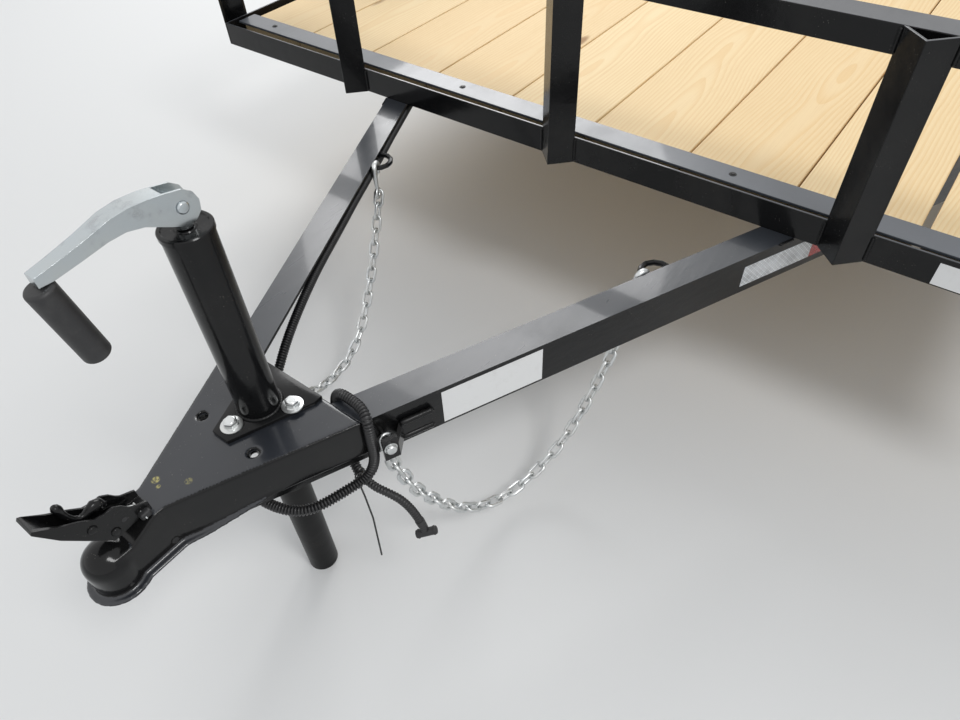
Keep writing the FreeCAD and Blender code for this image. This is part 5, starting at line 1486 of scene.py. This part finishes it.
@dataclass
class Jack:
    """The tongue jack: outer tube with a capped head, bolted flange, ram and crank."""

    radius: float = 0.0286
    wall: float = 0.003
    head: tuple = ((0.0286, 0.0075), (0.0301, 0.0068), (0.0301, 0.0012), (0.0290, 0.0), (0.0258, 0.0),
                   (0.0246, 0.0016), (0.0125, 0.0022), (0.0115, 0.0010), (0.0004, 0.0010))
    cavity_top: float = 0.010
    flange_corners: tuple = ((0.015, -0.067), (0.060, 0.044), (0.060, 0.058), (-0.060, 0.058),
                             (-0.060, 0.044), (-0.015, -0.067))
    flange_thick: float = 0.006
    flange_ease: float = 0.0011
    foot_bead: float = 0.0032
    bead_steps: int = 126
    bolt_circle: float = 0.0465
    bolt: tuple = (Step(0.0, 0.0150, 0.0024, 28, chamfer=0.0006), Step(0.0024, 0.01023, 0.0016, 24, 0.009075),
                   Step(0.0038, 0.0165 / math.sqrt(3), 0.0072, 6, chamfer=0.0009),
                   Step(0.0108, 0.0066, 0.0006, 20, 0.00594))
    crank_pin: float = 0.327
    pin_head: Step = Step(0.0121, 0.0076, 0.0030, 28, 0.0058, 0.0010)
    pin_nut: Step = Step(0.0121, 0.0068, 0.0030, 6, chamfer=0.0007)
    arm_taper: float = 0.34
    arm_start: float = 0.040
    arm_end: float = 0.150
    grip_reach: float = 0.137
    tip_reach: float = 0.162
    tip_shift: float = 0.010

    def build(self) -> None:
        """Make the tube with its flange, the bolts, the ram, and the crank and its grip."""
        low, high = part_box("jack_tube")
        foot = Matrix.Translation(Vector((0, JACK_Y, low.z)))
        bm = bmesh.new()
        outer, inner = [], []
        for edges, radius in ((outer, self.radius), (inner, self.radius - self.wall)):
            ring = bmesh.ops.create_circle(bm, segments=64, radius=radius, matrix=foot)["verts"]
            edges += {e for v in ring for e in v.link_edges}
        bmesh.ops.bridge_loops(bm, edges=outer + inner)
        self.lift(bm, outer, [(radius, high.z - drop) for radius, drop in self.head])
        self.lift(bm, inner, [(self.radius - self.wall, high.z - self.cavity_top)])
        bmesh.ops.recalc_face_normals(bm, faces=bm.faces)
        self.flange(bm)
        put(bm, "jack_outer_tube", "frame", STEEL, ["jack_tube"])
        self.foot_weld()
        self.bolts()
        put(copy_node("jack_ram"), "jack_inner_tube", "jack_ram", RAM_STEEL, ["jack_ram"],
            ease=0.0006)
        self.crank()

    def lift(self, bm: bmesh.types.BMesh, edges: list, outline: Sequence[tuple[float, float]]) -> None:
        """Extrude a ring about the jack's axis through an outline, and close its end.

        Args:
            bm: the mesh.
            edges: the ring.
            outline: the radius and height of each step.
        """
        for radius, height in outline:
            made = bmesh.ops.extrude_edge_only(bm, edges=edges)["geom"]
            edges = [g for g in made if isinstance(g, bmesh.types.BMEdge)]
            for vert in {v for e in edges for v in e.verts}:
                flat = Vector((vert.co.x, vert.co.y - JACK_Y, 0)).normalized() * radius
                vert.co = Vector((flat.x, JACK_Y + flat.y, height))
        bmesh.ops.holes_fill(bm, edges=edges, sides=0)

    def flange(self, bm: bmesh.types.BMesh) -> None:
        """Add the triangular flange.

        Args:
            bm: the mesh to add to.
        """
        verts = [bm.verts.new((x, JACK_Y + y, COUPLER_TOP)) for x, y in self.flange_corners]
        made = bmesh.ops.extrude_face_region(bm, geom=[bm.faces.new(verts)])["geom"]
        lifted = [g for g in made if isinstance(g, bmesh.types.BMVert)]
        bmesh.ops.translate(bm, vec=UP * self.flange_thick, verts=lifted)
        faces = list({f for v in verts + lifted for f in v.link_faces})
        bmesh.ops.recalc_face_normals(bm, faces=faces)
        edges = list({e for f in faces for e in f.edges})
        bmesh.ops.bevel(bm, geom=edges, offset=self.flange_ease, offset_type="OFFSET", affect="EDGES",
                        segments=2, profile=0.5, material=-1, clamp_overlap=True)

    def foot_weld(self) -> None:
        """The bead round the tube's foot on the flange."""
        bm = bmesh.new()
        middle = Vector((0, JACK_Y, COUPLER_TOP + self.flange_thick + 0.0006))
        ring = circle(middle, self.radius + 0.001, self.bead_steps, ACROSS, BACK)
        radii = [0.85 + 0.2 * abs(math.sin(math.pi * i / 3)) for i in range(self.bead_steps)]
        add_tube(bm, ring, self.foot_bead, radii, corners=1, cyclic=True)
        put(bm, "jack_foot_weld", "frame", WELD_STEEL, sharp=80.0)

    def bolts(self) -> None:
        """Flanged zinc bolts on washers at the flange's corners."""
        bm = bmesh.new()
        middle = Vector((0, JACK_Y, COUPLER_TOP + self.flange_thick))
        for at in circle(middle, self.bolt_circle, 3, -BACK, ACROSS):
            turned(bm, at, UP, *self.bolt)
        put(bm, "jack_bolts", "frame", PLATE)

    def crank(self) -> None:
        """The zinc channel arm with its rivet and nut, and its black grip."""
        bm = copy_node("crank_arm", flat=0.5)
        for vert in bm.verts:
            reach = JACK_Y - vert.co.y
            vert.co.x *= 1.0 - self.arm_taper * share(reach, self.arm_start, self.arm_end)
            vert.co.y += self.tip_shift * share(reach, self.grip_reach, self.tip_reach)
        put(bm, "crank_channel", "jack_crank", BRIGHT_PLATE, ["crank_arm"], ease=0.0010, segments=3,
            sharp=24.0)
        bm = bmesh.new()
        pin = Vector((0, JACK_Y, FRAME_LOW + self.crank_pin))
        turned(bm, pin, ACROSS, self.pin_head)
        turned(bm, pin, -ACROSS, self.pin_nut)
        put(bm, "crank_rivet", "jack_crank", BRIGHT_PLATE)
        put(copy_node("crank_grip", flat=0.2), "crank_handle_grip", "jack_crank", VINYL,
            ["crank_grip"], ease=0.004, segments=4)


@dataclass
class Chains:
    """Safety chains of round zinc links, and their hooks and straps."""

    wire: float = 0.0030
    inside: float = 0.0265
    width: float = 0.0225
    hook_reach: float = 0.263
    hook_inward: float = 0.057
    hook_rise: float = -0.0095
    hook_bar: float = 0.0050
    hook_bend: float = 0.0102
    hook_tip: tuple = ((-0.016, 0.5), (-0.008, 0.8))
    hook_full: float = 1.05
    hook_shank: tuple = ((-0.012, 0.95), (-0.026, 0.80), (-0.040, 0.70))
    hook_spring: tuple = ((0.0082, -0.032), (0.0042, -0.026), (-0.0072, -0.017), (-0.0092, -0.010))
    hook_spring_bar: float = 0.0011
    eye_rise: float = -0.049
    eye_bend: float = 0.0090
    eye_bar: float = 0.0034
    strap_bolt: tuple = (0.740, -0.032, -0.034)
    bolt_head: tuple = (Step(0.0, 0.0095, 0.0014, 28, chamfer=0.0004),
                        Step(0.0012, 0.0086, 0.0052, 28, 0.0070, 0.0014))
    link_corners: int = 40

    def build(self) -> None:
        """Make both chains, their hooks and the straps on the beams."""
        for side in Side:
            self.chain(side)
            self.hook(side)
        put(copy_node("chain_lugs", flat=0.5), "chain_straps", "frame", STEEL, ["chain_lugs"],
            ease=0.0014, segments=3)
        self.bolt_heads()

    def link_path(self) -> list[Vector]:
        """The middle line of one link along X.

        Returns:
            Its points.
        """
        bend = self.width / 2 - self.wire
        run = self.inside / 2 + self.wire - bend
        path = []
        for end, first in ((1, -90), (-1, 90)):
            for i in range(9):
                a = math.radians(first + 22.5 * i)
                path.append(Vector((end * run + bend * math.cos(a), bend * math.sin(a), 0)))
        return path

    def islands(self, source: bmesh.types.BMesh) -> list[set]:
        """The separate shells of a mesh.

        Args:
            source: the mesh.

        Returns:
            The corners of each shell.
        """
        left, found = set(source.verts), []
        while left:
            island, reach = set(), [left.pop()]
            while reach:
                vert = reach.pop()
                island.add(vert)
                for edge in vert.link_edges:
                    other = edge.other_vert(vert)
                    if other in left:
                        left.remove(other)
                        reach.append(other)
            found.append(island)
        return found

    def chain(self, side: Side) -> None:
        """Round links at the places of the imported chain's links.

        Args:
            side: which chain.
        """
        source = copy_node("chain_" + side.label, flat=0.01)
        link = tube_mesh(self.link_path(), self.wire, corners=2, cyclic=True)
        links, count = bmesh.new(), 0
        for island in self.islands(source):
            if len(island) > self.link_corners:
                continue
            cloud = np.array([v.co for v in island])
            middle = cloud.mean(axis=0)
            _, _, axes = np.linalg.svd(cloud - middle)
            along, across = Vector(axes[0]), Vector(axes[1])
            turn = Matrix((along, across, along.cross(across))).transposed().to_4x4()
            turn.translation = Vector(middle)
            first = len(links.verts)
            links.from_mesh(link)
            links.verts.ensure_lookup_table()
            bmesh.ops.transform(links, matrix=turn, verts=links.verts[first:])
            count += 1
        source.free()
        bpy.data.meshes.remove(link)
        LOG.info("chain %s: %d links", side.label, count)
        put(links, "chain_links_" + side.label, "frame", CHAIN_PLATE, ["chain_" + side.label],
            sharp=70.0)

    def hook(self, side: Side) -> None:
        """The forged hook over the chain ring, with its eye and wire spring latch.

        Args:
            side: which chain's hook.
        """
        beam = BEAMS[side]

        def at(forward: float, rise: float) -> Vector:
            """A point from the middle of the hook's bend."""
            return beam.at(self.hook_reach + forward, self.hook_inward, self.hook_rise + rise)

        r = self.hook_bend
        turns = [math.pi - math.pi * i / 14 for i in range(15)]
        path = [at(-r, rise) for rise, _ in self.hook_tip]
        path += [at(r * math.cos(t), r * math.sin(t)) for t in turns]
        path += [at(r, rise) for rise, _ in self.hook_shank]
        radii = [part for _, part in self.hook_tip] + [self.hook_full] * len(turns)
        radii += [part for _, part in self.hook_shank]
        bm = bmesh.new()
        add_tube(bm, path, self.hook_bar, radii, corners=3)
        eye = circle(at(r, self.eye_rise), self.eye_bend, 28, beam.along(), UP)
        add_tube(bm, eye, self.eye_bar, corners=3, cyclic=True)
        spring = spaced([at(*point) for point in self.hook_spring], WIRE_STEP)
        add_tube(bm, spring, self.hook_spring_bar, corners=1)
        put(bm, "chain_hook_" + side.label, "frame", CHAIN_PLATE, sharp=60.0)

    def bolt_heads(self) -> None:
        """Round zinc heads on the chain bolts."""
        bm = bmesh.new()
        for beam in BEAMS.values():
            turned(bm, beam.at(*self.strap_bolt), beam.outward(), *self.bolt_head)
        put(bm, "chain_bolt_heads", "frame", PLATE)


@dataclass
class RunningGear:
    """Axle, springs and wheels."""

    tyre_half: tuple = ((0.0560, 0.1906), (0.0696, 0.1910), (0.0710, 0.2010), (0.0770, 0.2090),
                        (0.0870, 0.2200), (0.0900, 0.2215), (0.0950, 0.2380), (0.1002, 0.2560),
                        (0.1013, 0.2680), (0.1003, 0.2810), (0.0975, 0.2950), (0.0962, 0.2968),
                        (0.0930, 0.3110), (0.0875, 0.3240), (0.0850, 0.3310), (0.0800, 0.3370),
                        (0.0740, 0.3402), (0.0640, 0.3420), (0.0530, 0.3429), (0.0522, 0.3362),
                        (0.0456, 0.3362), (0.0448, 0.3434), (0.0330, 0.3437), (0.0220, 0.3438),
                        (0.0212, 0.3366), (0.0146, 0.3366), (0.0138, 0.3439))
    liner: tuple = ((0.055, 0.1930), (0.084, 0.2400), (0.087, 0.2670), (0.070, 0.3150), (0.0, 0.3270))
    tread_steps: int = 216
    tread_start: float = 0.330
    shoulder_groove: tuple = (0.0448, 0.0530)
    rib_groove: tuple = (0.0138, 0.0220)
    notch: float = 0.0055
    nut_circle: float = 0.05715
    nut: tuple = (Step(0.0004, 0.0113, 0.0125, 6, chamfer=0.0008),
                  Step(0.0124, 0.0098, 0.0052, 24, 0.0062, 0.0012))
    cap: tuple = (Step(0.0062, 0.0333, 0.0440, 48, 0.0318, 0.0012),
                  Step(0.0480, 0.0312, 0.0063, 48, 0.0245, 0.0016))

    def build(self) -> None:
        """Make what carries the trailer."""
        for node in ("leaf_spring_left", "leaf_spring_right", "spring_hangers"):
            put(copy_node(node, flat=0.5), node + "_steel", "frame", SPRING_STEEL, [node],
                ease=0.0008)
        put(copy_node("axle_beam", flat=0.5), "axle_tube", "frame", SPRING_STEEL,
            ["axle_beam"])
        put(copy_node("axle_clamps", flat=0.5), "axle_u_bolts", "frame", PLATE, ["axle_clamps"],
            ease=0.0008)
        for side in Side:
            self.wheel(side)

    def wheel(self, side: Side) -> None:
        """A wheel's tyre, rim, hub, nuts and bearing cap.

        Args:
            side: which wheel.
        """
        label, body = side.label, "wheel_" + side.label
        low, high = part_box("tyre_" + label)
        centre = low.lerp(high, 0.5)
        self.tyre(side, centre)
        put(copy_node("rim_" + label, flat=0.5), "rim_steel_" + label, body, Silver("rim_paint_" + label),
            ["rim_" + label], ease=0.0016, sharp=40.0)
        put(copy_node("hub_" + label, flat=0.5), "hub_steel_" + label, body, SPRING_STEEL,
            ["hub_" + label])
        out = ACROSS * side.value
        bm = bmesh.new()
        for at in circle(centre, self.nut_circle, 5, UP, BACK):
            turned(bm, at, out, *self.nut)
        put(bm, "wheel_nuts_" + label, body, BRIGHT_PLATE)
        bm = bmesh.new()
        turned(bm, centre, out, *self.cap)
        put(bm, "bearing_cap_" + label, body, BRIGHT_PLATE)

    def tyre(self, side: Side, centre: Vector) -> None:
        """A tyre turned from its section, with grooves round it and notches across its shoulders.

        Args:
            side: which wheel.
            centre: the wheel's middle.
        """
        outer = list(self.tyre_half) + [(-a, b) for a, b in reversed(self.tyre_half)]
        inner = [(-a, b) for a, b in self.liner] + [(a, b) for a, b in reversed(self.liner[:-1])]
        bm = bmesh.new()
        verts = [bm.verts.new(centre + Vector((a, 0, b))) for a, b in outer + inner]
        edges = [bm.edges.new(pair) for pair in zip(verts, verts[1:] + verts[:1])]
        bmesh.ops.spin(bm, geom=verts + edges, cent=centre, axis=ACROSS, angle=2 * math.pi,
                       steps=self.tread_steps, use_merge=True)
        bmesh.ops.remove_doubles(bm, verts=bm.verts, dist=1e-6)
        bmesh.ops.recalc_face_normals(bm, faces=bm.faces)
        chosen = [f for f in bm.faces if self.in_notch(f.calc_center_median() - centre)]
        made = bmesh.ops.extrude_face_region(bm, geom=chosen)["geom"]
        for vert in (g for g in made if isinstance(g, bmesh.types.BMVert)):
            out = Vector((0, vert.co.y - centre.y, vert.co.z - centre.z)).normalized()
            vert.co -= out * self.notch
        put(bm, "tyre_rubber_" + side.label, "wheel_" + side.label, TYRE_RUBBER,
            ["tyre_" + side.label], sharp=28.0)

    def in_notch(self, at: Vector) -> bool:
        """Whether a face of the tread lies in a notch across a shoulder or a rib.

        Args:
            at: its middle, from the wheel's.

        Returns:
            Whether it does.
        """
        radius = math.hypot(at.y, at.z)
        step = int(round((math.atan2(at.y, at.z) / (2 * math.pi) % 1.0) * self.tread_steps - 0.5))
        side = abs(at.x)
        if radius < self.tread_start or any(a < side < b for a, b in (self.shoulder_groove, self.rib_groove)):
            return False
        if side > self.shoulder_groove[1]:
            return step % 4 == (0 if at.x > 0 else 2)
        return side > self.rib_groove[1] and step % 6 == (1 if at.x > 0 else 4)


@dataclass
class Bodywork:
    """Fenders, ramp gate and lamps."""

    marker_rise: tuple = (0.012, 0.038)
    marker_proud: tuple = (0.0, 0.013)
    marker_wide: float = 0.062
    amber_start: float = 0.34
    red_start: float = 0.20
    latch_place: tuple = (0.936, 2.215)
    latch_sleeve: float = 0.0098
    sleeve_starts: tuple = (0.030, 0.072)
    sleeve_long: float = 0.020
    seam: float = 0.0085
    latch_pin: Step = Step(0.0, 0.0060, 0.132, 28, chamfer=0.0014)
    handle: tuple = ((0.0, 0.061, 0.0), (-0.010, 0.061, 0.006), (-0.020, 0.061, 0.016),
                     (-0.026, 0.061, 0.040))
    handle_radius: float = 0.0042
    sleeve_bead: float = 0.0026
    amber: Colour = (0.75, 0.20, 0.01)

    def build(self) -> None:
        """Make the pieces round the bed."""
        for side in Side:
            put(copy_node("fender_" + side.label), "fender_sheet_" + side.label, "frame",
                Enamel("fender_enamel_" + side.label, dust=0.7), ["fender_" + side.label],
                ease=0.001)
        for node in ("gate_stiles", "gate_sill", "gate_head", "gate_rungs"):
            put(copy_node(node, flat=0.5), node + "_steel", "ramp_gate", STEEL, [node],
                ease=0.0015)
        put(copy_node("gate_hinges", flat=0.5), "gate_hinge_ears", "frame", STEEL,
            ["gate_hinges"], ease=0.001)
        put(copy_node("lamp_brackets"), "lamp_plates", "frame", STEEL, ["lamp_brackets"],
            ease=0.001)
        put(copy_node("tail_lamps"), "tail_lamp_lenses", "frame", Lens(), ["tail_lamps"],
            ease=0.005, segments=4)
        self.markers()
        self.gate_latches()

    def gate_latches(self) -> None:
        """Sliding pins in sleeves on the ends of the top rails, which hold the gate upright."""
        across, start = self.latch_place
        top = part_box("top_rail_left")[1].z + self.latch_sleeve - 0.0004
        sleeves, pins = bmesh.new(), bmesh.new()
        for side in Side:
            at = Vector((side.value * across, start, top))
            toe = Vector((-side.value * self.seam, 0, -self.seam))
            for step in self.sleeve_starts:
                near, far = at + BACK * step, at + BACK * (step + self.sleeve_long)
                drum(sleeves, near, BACK, self.latch_sleeve, self.sleeve_long, 32, chamfer=0.0012)
                weld(sleeves, near + toe, far + toe, self.sleeve_bead)
            turned(pins, at, BACK, self.latch_pin)
            handle = [at + Vector((side.value * x, y, z)) for x, y, z in self.handle]
            add_tube(pins, handle, self.handle_radius, corners=3)
        put(sleeves, "gate_latch_sleeves", "frame", STEEL, sharp=60.0)
        put(pins, "gate_latch_pins", "frame", PLATE, sharp=60.0)

    def markers(self) -> None:
        """Small side marker lamps on the side rails, amber in front and red behind."""
        for side in Side:
            low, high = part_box("side_rail_" + side.label)
            amber = Lens("amber_lens", self.amber)
            for colour, y, finish in (("amber", low.y + self.amber_start, amber),
                                      ("red", high.y - self.red_start, Lens())):
                bm = bmesh.new()
                on_side_rail(bm, side, (y, y + self.marker_wide), self.marker_rise, self.marker_proud)
                put(bm, "%s_marker_%s" % (colour, side.label), "frame", finish, ease=0.004,
                    segments=4)


def main() -> None:
    """Build the studio and each sub-assembly in turn."""
    logging.basicConfig(level=logging.INFO, format="%(name)s %(message)s")
    bpy.context.scene.view_settings.view_transform = "Standard"
    for part in (Studio(), Wiring(), Deck(), BedFrame(), Tongue(), Coupler(), Jack(), Chains(), RunningGear(),
                 Bodywork()):
        part.build()
        LOG.info("%s done", type(part).__name__)


if __name__ == "__main__":
    main()
